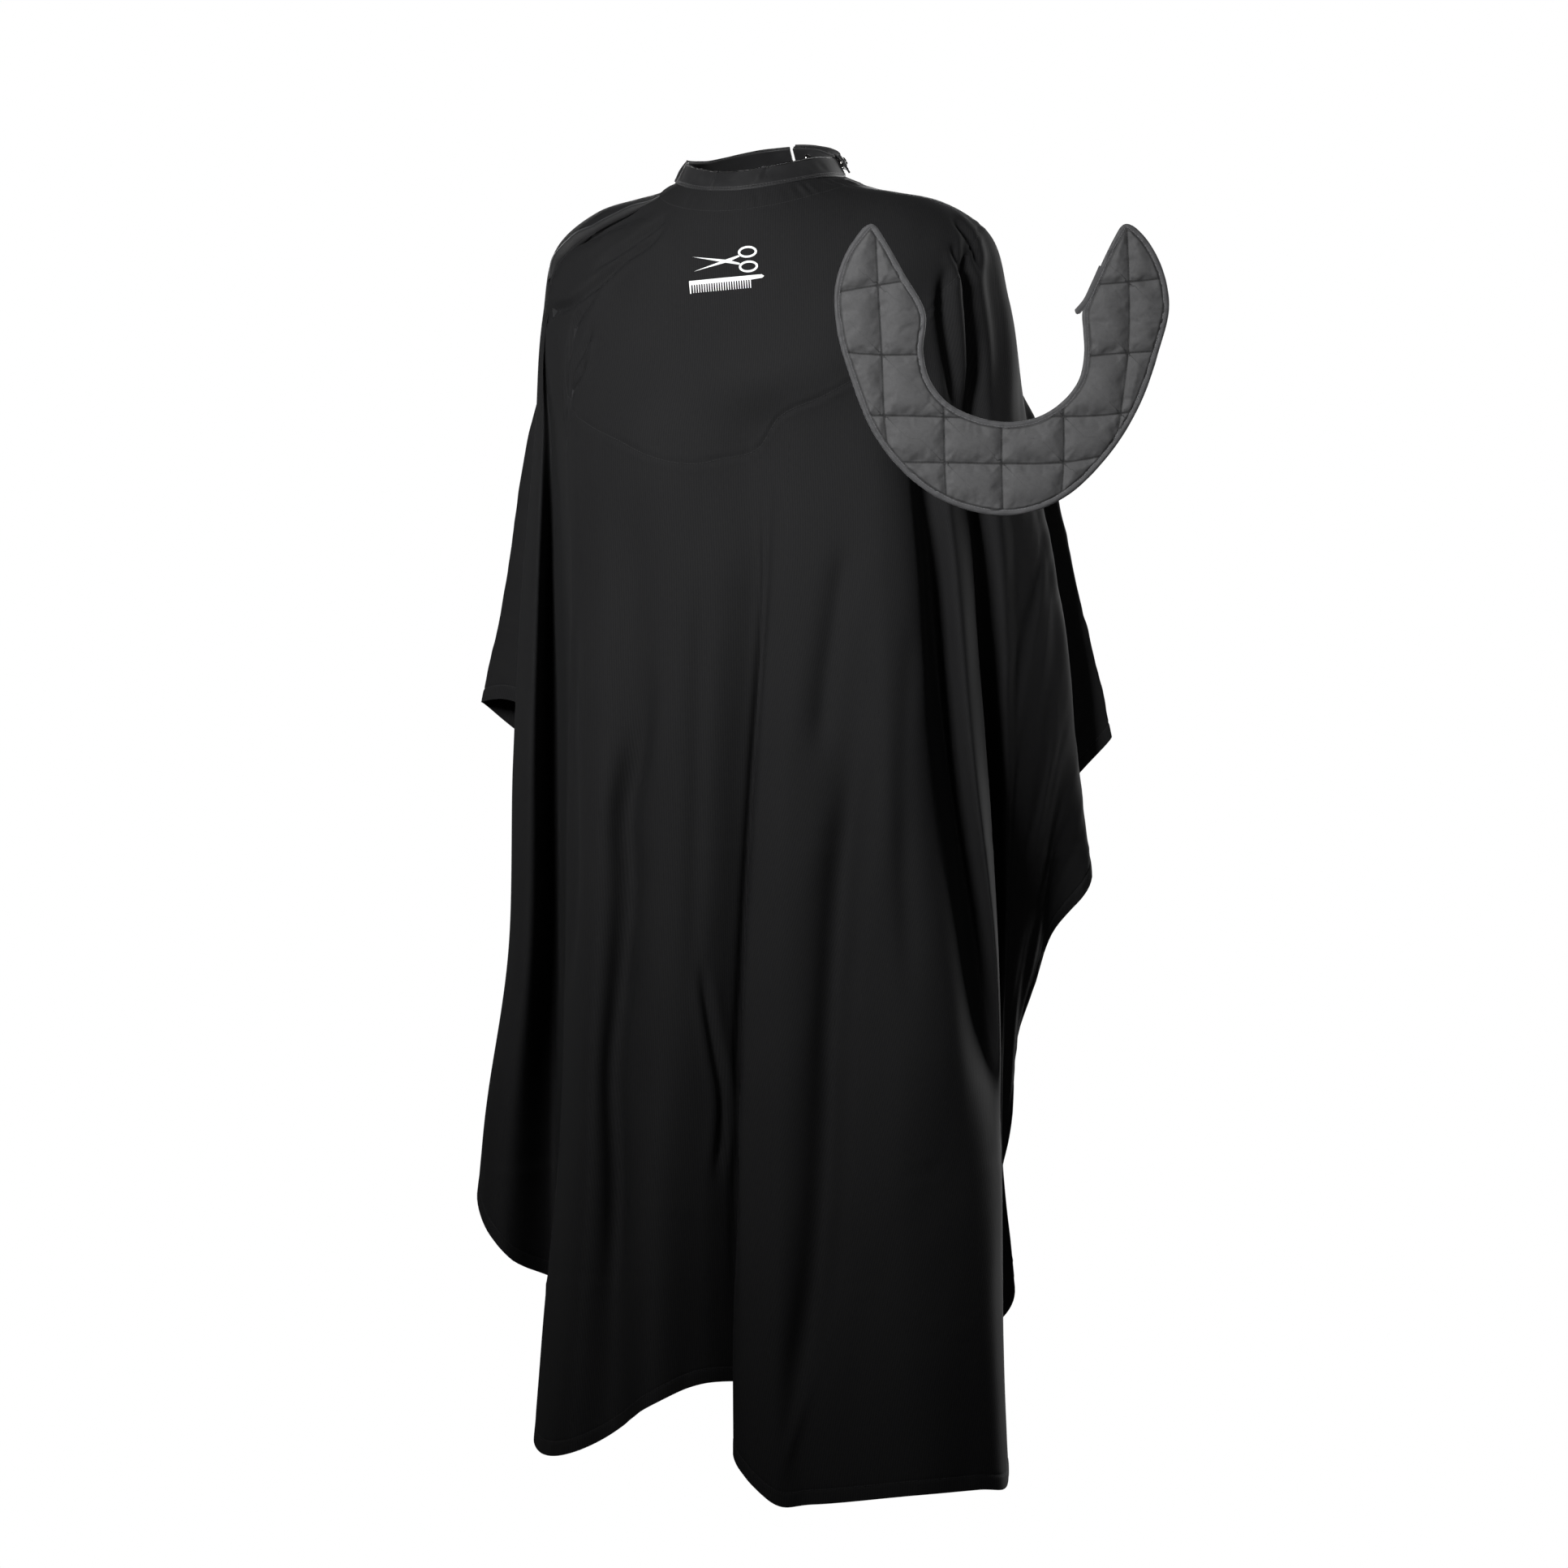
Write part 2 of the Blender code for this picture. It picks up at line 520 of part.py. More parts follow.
def loft_body(loops, frame):
    """Closed body through loops of the same count, each a list of (x, y, z), capped at both ends."""
    bm = bmesh.new()
    rings = []
    for loop in loops:
        rings.append([bm.verts.new(frame @ Vector(point)) for point in loop])
    for lower, upper in zip(rings, rings[1:]):
        for k in range(len(lower)):
            n = (k + 1) % len(lower)
            bm.faces.new((lower[k], lower[n], upper[n], upper[k]))
    bm.faces.new(list(reversed(rings[0])))
    bm.faces.new(rings[-1])
    bmesh.ops.triangulate(bm, faces=bm.faces)
    return bm


def ring_body(loops, frame):
    """Closed body round a hole: loops joined in turn, the last one back to the first."""
    bm = bmesh.new()
    rings = []
    for loop in loops:
        rings.append([bm.verts.new(frame @ Vector(point)) for point in loop])
    for lower, upper in zip(rings, rings[1:] + rings[:1]):
        for k in range(len(lower)):
            n = (k + 1) % len(lower)
            bm.faces.new((lower[k], lower[n], upper[n], upper[k]))
    bmesh.ops.triangulate(bm, faces=bm.faces)
    return bm


def cap_strip(bm, ring):
    """Close one ring of the insert's outline with quads from its outer to its inner edge."""
    last = EDGE_POINTS - 1
    inside = [ring[0]] + [ring[-k] for k in range(1, last)] + [ring[last]]
    for k in range(last):
        corners = [ring[k], ring[k + 1], inside[k + 1], inside[k]]
        bm.faces.new(list(dict.fromkeys(corners)))


def at_height(loop, height):
    return [(float(x), float(y), height) for x, y in loop]


def build_insert_cover(name, frame, side, parent):
    """One cover: a shallow tray, open towards the other cover. side is 1 for the front."""
    loop = outline()
    edge = BINDING_WIDTH * 0.25
    outside = (at_height(inset(loop, edge), side * GAP),
               at_height(inset(loop, edge), side * (GAP + COVER_THICK)),
               at_height(inset(loop, BINDING_WIDTH * 0.9), side * (GAP + COVER_THICK)),
               at_height(inset(loop, 0.0125), side * INSERT_HALF))
    inside = (at_height(inset(loop, 0.0138), side * (INSERT_HALF - COVER_THICK)),
              at_height(inset(loop, BINDING_WIDTH * 0.9 + 0.0006), side * GAP))
    bm = bmesh.new()
    rings = []
    for ring in outside + inside:
        rings.append([bm.verts.new(frame @ Vector(point)) for point in ring])
    count = len(loop)
    for near, far in ((0, 1), (1, 2), (2, 3), (4, 5), (5, 0)):
        for k in range(count):
            n = (k + 1) % count
            bm.faces.new((rings[near][k], rings[near][n], rings[far][n], rings[far][k]))
    cap_strip(bm, rings[3])
    cap_strip(bm, rings[4])
    bmesh.ops.triangulate(bm, faces=bm.faces)
    return add_object(name, bm, GREY_NYLON, parent=parent)


def build_binding(frame, parent):
    loop = outline()
    inner_edge = inset(loop, BINDING_WIDTH * 0.25 - GAP)
    loops = (at_height(loop, BINDING_HALF), at_height(inset(loop, -0.0010), 0.0), at_height(loop, -BINDING_HALF),
             at_height(inner_edge, -BINDING_HALF), at_height(inner_edge, BINDING_HALF))
    return add_object("insert_binding", ring_body(loops, frame), GREY_BINDING, parent=parent)


def clip(polygon, axis, limit, keep_above):
    """Polygon cut by a line where axis (0 or 1) equals limit."""
    result = []
    sign = 1.0 if keep_above else -1.0
    for here, there in zip(polygon, np.roll(polygon, -1, axis=0)):
        a = sign * (here[axis] - limit)
        b = sign * (there[axis] - limit)
        if a >= 0:
            result.append(here)
        if a * b < 0:
            result.append(here + (there - here) * a / (a - b))
    return np.array(result)


def cell_boxes():
    """Limits of the quilted cells: left, right, bottom, top."""
    boxes = []
    far = 0.2
    tops = (FILL_TOP,) + QUILT_LEVELS
    for arm, seam in ((-1, ARM_SEAM_LEFT), (1, ARM_SEAM_RIGHT)):
        for top, bottom in zip(tops[:3], tops[1:4]):
            if arm < 0:
                boxes.append((-far, seam, bottom, top))
                boxes.append((seam, -0.012, bottom, top))
            else:
                boxes.append((0.012, seam, bottom, top))
                boxes.append((seam, far, bottom, top))
    sides = (-far,) + BOTTOM_SEAMS + (far,)
    for top, bottom in ((QUILT_LEVELS[2], QUILT_LEVELS[3]), (QUILT_LEVELS[3], -far)):
        for left, right in zip(sides, sides[1:]):
            boxes.append((left, right, bottom, top))
    return boxes


def build_fills(frame, parent):
    room = inset(outline(), FILL_MARGIN)
    number = 0
    for left, right, bottom, top in cell_boxes():
        cell = clip(room, 0, left + SEAM_HALF, True)
        cell = clip(cell, 0, right - SEAM_HALF, False)
        cell = clip(cell, 1, bottom + SEAM_HALF, True)
        cell = clip(cell, 1, top - SEAM_HALF, False)
        if len(cell) < 4:
            continue
        cell = thin_out(cell, 14)
        middle = cell.mean(axis=0)
        number += 1
        crown = middle + (cell - middle) * 0.70
        loops = (at_height(crown, -FILL_HALF), at_height(cell, -FILL_EDGE), at_height(cell, FILL_EDGE),
                 at_height(crown, FILL_HALF))
        add_object("bead_fill_%02d" % number, loft_body(loops, frame), GLASS_BEADS, parent=parent)
    return number


def thin_out(polygon, count):
    """Polygon with at most count corners, dropping those that bend it least."""
    points = [np.array(p) for p in polygon]
    while len(points) > count:
        areas = []
        for k in range(len(points)):
            before, here, after = points[k - 1], points[k], points[(k + 1) % len(points)]
            first = here - before
            second = after - here
            areas.append(abs(first[0] * second[1] - first[1] * second[0]))
        points.pop(int(np.argmin(areas)))
    return np.array(points)


def build_insert():
    frame = insert_frame()
    slide = add_empty("insert_slide", frame.translation)
    build_insert_cover("insert_front_cover", frame, 1, slide)
    build_insert_cover("insert_back_cover", frame, -1, slide)
    build_binding(frame, slide)
    return build_fills(frame, slide)


def main():
    for piece in list(bpy.data.objects):
        bpy.data.objects.remove(piece)
    build_cape()
    build_facing()
    inside = build_neckband()
    build_tab_and_snaps(inside)
    cells = build_insert()
    print("bead cells:", cells)


main()
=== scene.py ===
# The looks of the barber cape: its hanging cloth, neckband, snaps, pocket lining, quilted insert
# and chest print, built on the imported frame. Metres; the wearer faces -Y and +Z is up.
import math

import bmesh
import bpy
import numpy as np
from mathutils import Matrix, Vector
from mathutils.bvhtree import BVHTree


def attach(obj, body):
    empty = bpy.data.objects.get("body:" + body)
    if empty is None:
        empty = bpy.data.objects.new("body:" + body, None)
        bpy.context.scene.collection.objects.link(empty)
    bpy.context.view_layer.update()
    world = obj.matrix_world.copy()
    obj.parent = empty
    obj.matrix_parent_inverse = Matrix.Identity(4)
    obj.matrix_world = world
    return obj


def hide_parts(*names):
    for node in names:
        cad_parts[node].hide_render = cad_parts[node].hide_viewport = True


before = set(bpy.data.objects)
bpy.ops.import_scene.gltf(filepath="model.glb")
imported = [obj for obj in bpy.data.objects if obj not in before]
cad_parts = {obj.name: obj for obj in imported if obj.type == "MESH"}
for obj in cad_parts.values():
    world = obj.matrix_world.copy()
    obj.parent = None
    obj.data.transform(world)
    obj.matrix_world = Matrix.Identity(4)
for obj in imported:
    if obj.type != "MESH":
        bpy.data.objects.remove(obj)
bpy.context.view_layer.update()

# ------------------------------------------------------------- the cape's drape
# The same fold lines as the CAD cape. "across" runs to the right and "toward" comes forward for
# somebody who stands TURN round from straight ahead, on the wearer's left.
TURN = math.radians(26.0)
SEAM_DROP = 0.030                 # from the origin down to the front of the neck seam
RIGHT = Vector((math.cos(TURN), math.sin(TURN), 0.0))       # along "across"
AHEAD = Vector((math.sin(TURN), -math.cos(TURN), 0.0))      # along "toward"
FOLD_LEVELS = (-0.25, -0.40, -0.60, -0.80, -1.00, -1.20, -1.38)

# One row for each fold line: its place along the sheet, from 0 at the right edge of the back
# slit round the front to 1 at its left edge; the height where the cloth ends; and
# (across, toward) at each of FOLD_LEVELS, as far down as the line isn't straight.
FOLD_LINES = (
    (0, -.235, ((.057, -.128), (.057, -.132), (.057, -.134))),
    (.0409, -.25, ((-.033, -.176), (-.034, -.182), (-.034, -.184))),
    (.0745, -.4, ((-.098, -.208), (-.103, -.222), (-.106, -.228), (-.106, -.23))),
    (.1006, -.62, ((-.15, -.218), (-.152, -.246), (-.15, -.268), (-.15, -.28))),
    (.1357, -.58, ((-.214, -.205), (-.226, -.236), (-.24, -.262), (-.244, -.27))),
    (.1645, -.532, ((-.25, -.17), (-.274, -.2), (-.312, -.238), (-.316, -.25))),
    (.1982, -.6, ((-.232, -.142), (-.236, -.16), (-.236, -.182), (-.236, -.19))),
    (.213, -.77, ((-.240, -.118), (-.250, -.134), (-.256, -.164), (-.258, -.180), (-.256, -.184))),
    (.2414, -.89, ((-.228, -.095), (-.226, -.116), (-.208, -.164), (-.186, -.178), (-.174, -.184),
     (-.170, -.184))),
    (.279, -1.062, ((-.24, -.07), (-.253, -.078), (-.264, -.086), (-.269, -.094), (-.297, -.104),
     (-.312, -.108))),
    (.296, -1.125, ((-.231, -.044), (-.235, -.048), (-.240, -.057), (-.243, -.068), (-.260, -.082),
     (-.270, -.088))),
    (.309, -1.15, ((-.2225, -.052), (-.224, -.090), (-.223, -.116), (-.222, -.132), (-.222, -.138),
     (-.220, -.142))),
    (.3222, -1.165, ((-.214, -.020), (-.208, -.024), (-.205, -.036), (-.204, -.050), (-.204, -.060),
     (-.204, -.066))),
    (.3647, -1.312, ((-.19, .052), (-.193, .048), (-.2, .04), (-.204, .036), (-.211, .034), (-.23, .032),
     (-.244, .03))),
    (.3924, -1.32, ((-.16, .086), (-.163, .09), (-.168, .094), (-.172, .096), (-.178, .1), (-.19, .102),
     (-.205, .102))),
    (.4092, -1.3, ((-.132, .106), (-.133, .104), (-.138, .1), (-.142, .098), (-.146, .096),
     (-.152, .096), (-.158, .096))),
    (.4307, -1.268, ((-.1, .12), (-.1, .126), (-.102, .13), (-.103, .132), (-.106, .134), (-.112, .136),
     (-.118, .136))),
    (.4533, -1.246, ((-.055, .132), (-.055, .14), (-.056, .14), (-.058, .134), (-.06, .124),
     (-.058, .112), (-.054, .104))),
    (.4852, -1.262, ((-.01, .14), (-.004, .144), (.002, .126), (.01, .1), (.022, .076), (.034, .056),
     (.04, .046))),
    (.5163, -1.318, ((.014, .147), (.007, .154), (-.006, .16), (-.017, .165), (-.024, .17),
     (-.028, .174), (-.029, .177))),
    (.534, -1.362, ((.036, .155), (.032, .166), (.026, .178), (.02, .186), (.014, .192), (.01, .198),
     (.01, .202))),
    (.5574, -1.366, ((.085, .166), (.09, .172), (.09, .174), (.08, .178), (.066, .184), (.056, .192),
     (.056, .198))),
    (.5816, -1.356, ((.125, .17), (.131, .178), (.137, .188), (.145, .196), (.15, .202), (.155, .207),
     (.158, .21))),
    (.6037, -1.352, ((.15, .16), (.162, .166), (.176, .172), (.196, .178), (.212, .182), (.222, .184),
     (.226, .184))),
    (.6295, -1.350, ((.165, .14), (.177, .12), (.196, .106), (.226, .11), (.247, .14), (.251, .15),
     (.258, .152))),
    (.649, -1.325, ((.192, .138), (.204, .144), (.222, .148), (.246, .138), (.253, .104), (.254, .1),
     (.261, .098))),
    (.6659, -1.308, ((.208, .12), (.22, .118), (.236, .116), (.250, .106), (.250, .082), (.252, .074),
     (.260, .072))),
    (.7012, -1.235, ((.216, .098), (.223, .076), (.234, .044), (.24, .018), (.22, 0), (.2, -.01),
     (.196, -.014))),
    (.728, -1.16, ((.24, .1), (.252, .092), (.256, .082), (.256, .044), (.252, .026), (.272, .004),
     (.274, .004))),
    (.7547, -1.04, ((.254, .088), (.27, .074), (.27, .074), (.262, .04), (.254, .014), (.252, .004))),
    (.777, -.938, ((.264, .076), (.286, .062), (.286, .064), (.276, .032), (.264, .004), (.262, 0))),
    (.7857, -.868, ((.268, .068), (.294, .056), (.298, .056), (.288, .022), (.252, -.006), (.25, -.01))),
    (.7999, -.785, ((.272, .058), (.302, .048), (.314, .042), (.304, .006), (.3, -.01))),
    (.8186, -.716, ((.278, .042), (.312, .034), (.336, .014), (.358, -.008))),
    (.839, -.64, ((.28, .016), (.31, .002), (.318, -.028), (.318, -.044))),
    (.8623, -.57, ((.296, 0), (.332, -.008), (.377, -.026), (.384, -.03))),
    (.8837, -.6, ((.282, -.022), (.312, -.036), (.34, -.062), (.344, -.07))),
    (.9098, -.62, ((.256, -.044), (.27, -.062), (.28, -.092), (.28, -.1))),
    (.9317, -.4, ((.219, -.068), (.228, -.08), (.23, -.086))),
    (.9588, -.25, ((.165, -.094), (.166, -.098), (.166, -.1))),
    (1, -.235, ((.066, -.124), (.066, -.128), (.066, -.13))),
)

# Rings that the cloth follows from the neck seam over the chest, shoulders and back:
# half width, middle y, front y, back y, then heights at front, side and back, then squareness.
SHOULDER_RINGS = (
    (.092, .000, -.084, .088, .000, .017, .034, 2.0),
    (.110, .006, -.093, .104, -.024, .010, .025, 2.0),
    (.146, .014, -.103, .121, -.062, .003, .006, 2.0),
    (.196, .023, -.115, .136, -.108, -.009, -.024, 2.1),
    (.240, .030, -.130, .147, -.154, -.040, -.075, 2.2),
    (.256, .034, -.142, .150, -.200, -.110, -.150, 2.2),
)

COLUMNS = 720                     # columns of the cape's mesh, round the sheet
CHEST_DEPTH = 0.32                # distance below the neck seam with the finest rows
CHEST_ROWS = 84                   # rows over that distance, and then down to the hem
CHEST_SHARE = 0.82                # most of a column's length that those rows may take
SKIRT_ROWS = 128
# Rows of the mesh along the bottom hem: distances above its edge.
HEM_ROWS = (.022, .019, .0172, .0160, .0150, .0140, .0128, .011, .007, .003, .0010, .0)
HEM_STITCH = 0.0150               # stitching above the hem's edge
HEM_THICK = 0.0011                # from the outside of the hem to its folded-in layer
# That layer: distances in from the edge to just past the stitching, and its depths there.
HEM_IN = (0.0, 0.0003, 0.0008, 0.0016, 0.004, 0.008, 0.012, 0.0165)
HEM_DEEP = np.array((0.0, 0.0006, 0.0009) + (HEM_THICK,) * 3 + (HEM_THICK * 0.8, HEM_THICK * 0.5))
SLIT_COLUMNS = 60                 # columns beside the slit that its hems may reach

NECK_LINE = 0.0210                # stitching below the neck seam
# The pocket's stitched outline: place along the sheet, and distance below the neck seam.
POCKET_OUTLINE = (
    (.205, .150), (.262, .168), (.300, .172), (.3421, .188), (.3395, .236), (.3474, .272),
    (.3684, .276), (.4013, .284), (.4171, .292), (.4408, .296), (.4605, .292), (.4987, .288),
    (.5197, .262), (.5474, .252), (.5697, .244), (.610, .228), (.655, .206), (.705, .182),
    (.770, .160), (.830, .150),
)

# The part of it whose stitching shows on the outside; the rest is caught down on the inside only.
POCKET_SEEN = ((.3440, .262), (.3540, .273)) + POCKET_OUTLINE[6:]

# Creases pulled into the cloth: (place, distance) points, depth of the valley, its half width,
# and the height of the soft ridges beside it.
CREASES = (
    (((.3592, .030), (.3461, .060), (.3408, .092), (.3368, .116), (.3368, .138)), .0062, .0038, .0012),
    (((.3671, .032), (.3605, .064), (.350, .096), (.3474, .128), (.3368, .168), (.3145, .212),
      (.300, .240)), .0074, .0040, .0015),
    (((.3513, .126), (.3513, .156), (.3447, .180), (.3421, .200), (.3408, .250), (.3390, .330)),
     .0052, .0038, .0008),
    (((.3632, .176), (.3553, .212), (.3487, .236), (.3440, .270)), .0045, .0036, .0016),
    (((.3632, .202), (.3566, .232), (.350, .252), (.3460, .300)), .0045, .0036, .0016),
    (((.3303, .030), (.3171, .064), (.3145, .104), (.3092, .136)), .0045, .0056, .0018),
    (((.300, .100), (.296, .150), (.290, .220)), .0040, .0080, .0014),
    (((.655, .180), (.650, .212), (.6526, .268), (.664, .350)), .0110, .0085, .0026),
    (((.690, .158), (.682, .192), (.680, .232), (.684, .284), (.694, .360)), .0130, .0095, .0030),
    (((.664, .166), (.668, .196), (.672, .214)), .0045, .0050, .0014),
    (((.705, .140), (.715, .175), (.722, .215)), .0050, .0060, .0016),
)


# Folds of the front panels: (across, height) points, depth, half width; negative depths are ridges.
FRONT_FOLDS = (
    (((-.114, -.470), (-.123, -.560), (-.140, -.650), (-.138, -.723), (-.147, -.842), (-.153, -.906),
      (-.149, -1.045), (-.157, -1.206)), .0105, .0110),
    (((-.195, -.420), (-.199, -.560), (-.196, -.720), (-.203, -.860)), .0050, .0070),
    (((.0129, -.270), (.0069, -.392), (-.0103, -.649), (-.0231, -.906), (-.0274, -1.249)), .0030, .0036),
    (((-.062, -.800), (-.056, -.842), (-.045, -.906), (-.039, -.938), (-.045, -1.045)), .0060, .0046),
    (((.092, -.360), (.069, -.514), (.060, -.600)), .0045, .0110),
    (((.105, -.560), (.089, -.670), (.073, -.884), (.070, -.970), (.046, -1.206), (.020, -1.313)),
     .0105, .0140),
    (((.160, -.420), (.150, -.640), (.156, -.860)), .0030, .0120),
    (((-.060, -.380), (-.066, -.620), (-.072, -.860)), .0024, .0100),
    (((-.147, -1.066), (-.109, -1.061), (-.045, -1.069)), -.0009, .0030),
    (((.051, -1.149), (.132, -1.152), (.159, -1.173), (.244, -1.190)), -.0010, .0032),
    (((.084, -1.152), (.046, -1.259), (.020, -1.340)), -.0022, .0050),
    (((.143, -1.029), (.191, -1.018)), .0016, .0040),
    (((-.110, -.500), (-.060, -.503)), -.0007, .0028),
)
# Where those folds fade in and out along the sheet.
FRONT_PLACES = (0.350, 0.368, 0.622, 0.640)
# Creases from storage: height, phase of their noise, and strength.
STORAGE_CREASES = ((-1.06, 0.0, .0011), (-1.17, 2.0, .0009), (-0.72, 4.0, .0005))


def smooth_curve(knots, values, where):
    """Cubic curve through values at knots, read at the places in where."""
    knots = np.asarray(knots, float)
    values = np.asarray(values, float)
    slopes = np.gradient(values, knots, axis=0)
    k = np.clip(np.searchsorted(knots, where, side="right") - 1, 0, len(knots) - 2)
    shape = (-1,) + (1,) * (values.ndim - 1)
    h = (knots[k + 1] - knots[k]).reshape(shape)
    t = (where - knots[k]).reshape(shape) / h
    near = (1 + 2 * t) * (1 - t) ** 2 * values[k] + t * (1 - t) ** 2 * h * slopes[k]
    far = t * t * (3 - 2 * t) * values[k + 1] + t * t * (t - 1) * h * slopes[k + 1]
    return near + far


def ring_points(ring, angle):
    """Points of one shoulder ring; angle 0 is the front and grows to the wearer's left."""
    half, middle, front, back, z_front, z_side, z_back, square = ring
    s = np.sin(angle)
    c = np.cos(angle)
    power = 2.0 / square
    x = half * np.sign(s) * np.abs(s) ** power
    reach = np.where(c > 0, middle - front, back - middle)
    y = middle - reach * np.sign(c) * np.abs(c) ** power
    z = np.where(c > 0, z_front, z_back) * c * c + z_side * s * s
    return np.stack([x, y, z], -1)


def straight_down(points):
    """A fold line's points at all of FOLD_LEVELS."""
    return points + (points[-1],) * (len(FOLD_LEVELS) - len(points))


def guide_points(places):
    """Guide points of the sheet's columns, (columns, guides, 3), and each column's end height."""
    knots = np.array([line[0] for line in FOLD_LINES])
    hang = smooth_curve(knots, np.array([straight_down(line[2]) for line in FOLD_LINES]), places)
    ends = smooth_curve(knots, np.array([line[1] for line in FOLD_LINES]), places)
    across = hang[..., 0]
    toward = hang[..., 1]
    x = across * math.cos(TURN) + toward * math.sin(TURN)
    y = across * math.sin(TURN) - toward * math.cos(TURN)
    z = np.broadcast_to(np.array(FOLD_LEVELS), x.shape)
    low = np.stack([x, y, z], -1)
    half, middle, front, back = SHOULDER_RINGS[-1][:4]
    ahead = y[:, 0] - middle
    depth = np.where(ahead < 0, middle - front, back - middle)
    angle = np.unwrap(np.arctan2(x[:, 0] / half, -ahead / depth))
    top = np.stack([ring_points(ring, angle) for ring in SHOULDER_RINGS], 1)
    return np.concatenate([top, low], 1), ends


def column_curve(guides, end, samples=700):
    """One column from the neck seam to its end height, as a dense run of points."""
    lengths = np.linalg.norm(np.diff(guides, axis=0), axis=1)
    knots = np.concatenate([[0.0], np.cumsum(lengths)])
    points = smooth_curve(knots, guides, np.linspace(0.0, knots[-1], samples))
    stop = int(np.argmax(points[:, 2] < end))
    above = points[stop - 1]
    below = points[stop]
    share = (end - above[2]) / (below[2] - above[2])
    return np.concatenate([points[:stop], [above + (below - above) * share]])


def run_of(points):
    steps = np.linalg.norm(np.diff(points, axis=0), axis=-1)
    return np.concatenate([[0.0], np.cumsum(steps)])


def read_at(where, run, points):
    """Points (n, any) whose places are run, read at the places in where."""
    return np.stack([np.interp(where, run, points[:, k]) for k in range(points.shape[1])], -1)


def grid_normals(grid):
    """Outward normals of a grid of points (columns, rows, 3)."""
    normal = np.cross(np.gradient(grid, axis=1), np.gradient(grid, axis=0))
    return normal / np.maximum(np.linalg.norm(normal, axis=2, keepdims=True), 1e-12)


# --------------------------------------------------------------------- helpers
def noise(x, y, seed):
    """Smooth noise from -1 to 1 with one bump per unit."""
    table = np.random.default_rng(seed).uniform(-1.0, 1.0, (97, 89))
    x = np.asarray(x, float)
    y = np.asarray(y, float)
    i = np.floor(x).astype(int)
    j = np.floor(y).astype(int)
    u = x - i
    v = y - j
    u = u * u * (3 - 2 * u)
    v = v * v * (3 - 2 * v)
    i0 = i % 97
    i1 = (i + 1) % 97
    j0 = j % 89
    j1 = (j + 1) % 89
    low = table[i0, j0] * (1 - u) + table[i1, j0] * u
    high = table[i0, j1] * (1 - u) + table[i1, j1] * u
    return low * (1 - v) + high * v


def bell(distance, half_width):
    return np.exp(-(distance / half_width) ** 2)


def step_up(value, low, high):
    """0 below low, 1 above high, smooth between."""
    t = np.clip((value - low) / (high - low), 0.0, 1.0)
    return t * t * (3 - 2 * t)


def line_fields(points, line):
    """Distance of each of points (n, 2) from a polyline, signed by side, and the length along it."""
    line = np.asarray(line, float)
    run = run_of(line)
    best = np.full(len(points), 1e9)
    side = np.ones(len(points))
    along = np.zeros(len(points))
    for k in range(len(line) - 1):
        a = line[k]
        ab = line[k + 1] - a
        length = max(float(np.dot(ab, ab)), 1e-12)
        ap = points - a
        t = np.clip(ap @ ab / length, 0.0, 1.0)
        off = ap - t[:, None] * ab
        distance = np.linalg.norm(off, axis=1)
        closer = distance < best
        best = np.where(closer, distance, best)
        side = np.where(closer, np.sign(ab[0] * ap[:, 1] - ab[1] * ap[:, 0] + 1e-15), side)
        along = np.where(closer, run[k] + t * math.sqrt(length), along)
    return best * side, along


def dense_line(points, step):
    """A smooth run through points with a corner every step or so."""
    points = np.asarray(points, float)
    run = run_of(points)
    where = np.linspace(0.0, run[-1], max(int(run[-1] / step), 2))
    if len(points) < 3:
        return read_at(where, run, points)
    return smooth_curve(run, points, where)


def grid_faces(columns, rows, start=0, flip=False, wrap=False):
    """Quads of a (columns, rows) grid of vertices numbered column by column from start."""
    across = columns if wrap else columns - 1
    i, j = np.meshgrid(np.arange(across), np.arange(rows - 1), indexing="ij")
    n = (i + 1) % columns
    quad = np.stack([i * rows + j, i * rows + j + 1, n * rows + j + 1, n * rows + j], -1).reshape(-1, 4)
    if flip:
        quad = quad[:, ::-1]
    return quad + start


def add_object(name, data):
    """An object of data, linked to the scene."""
    thing = bpy.data.objects.new(name, data)
    bpy.context.scene.collection.objects.link(thing)
    return thing


def mesh_object(name, points, faces, material, uvs):
    """Smooth object from points and faces. uvs is {map name: (n, 2) by vertex}."""
    mesh = bpy.data.meshes.new(name)
    mesh.from_pydata(np.asarray(points, float).tolist(), [], [tuple(int(v) for v in f) for f in faces])
    mesh.validate()
    loops = np.zeros(len(mesh.loops), int)
    mesh.loops.foreach_get("vertex_index", loops)
    for key, values in uvs.items():
        layer = mesh.uv_layers.new(name=key)
        layer.data.foreach_set("uv", np.asarray(values, np.float32)[loops].ravel())
    mesh.shade_smooth()
    mesh.materials.append(material)
    return add_object(name, mesh)


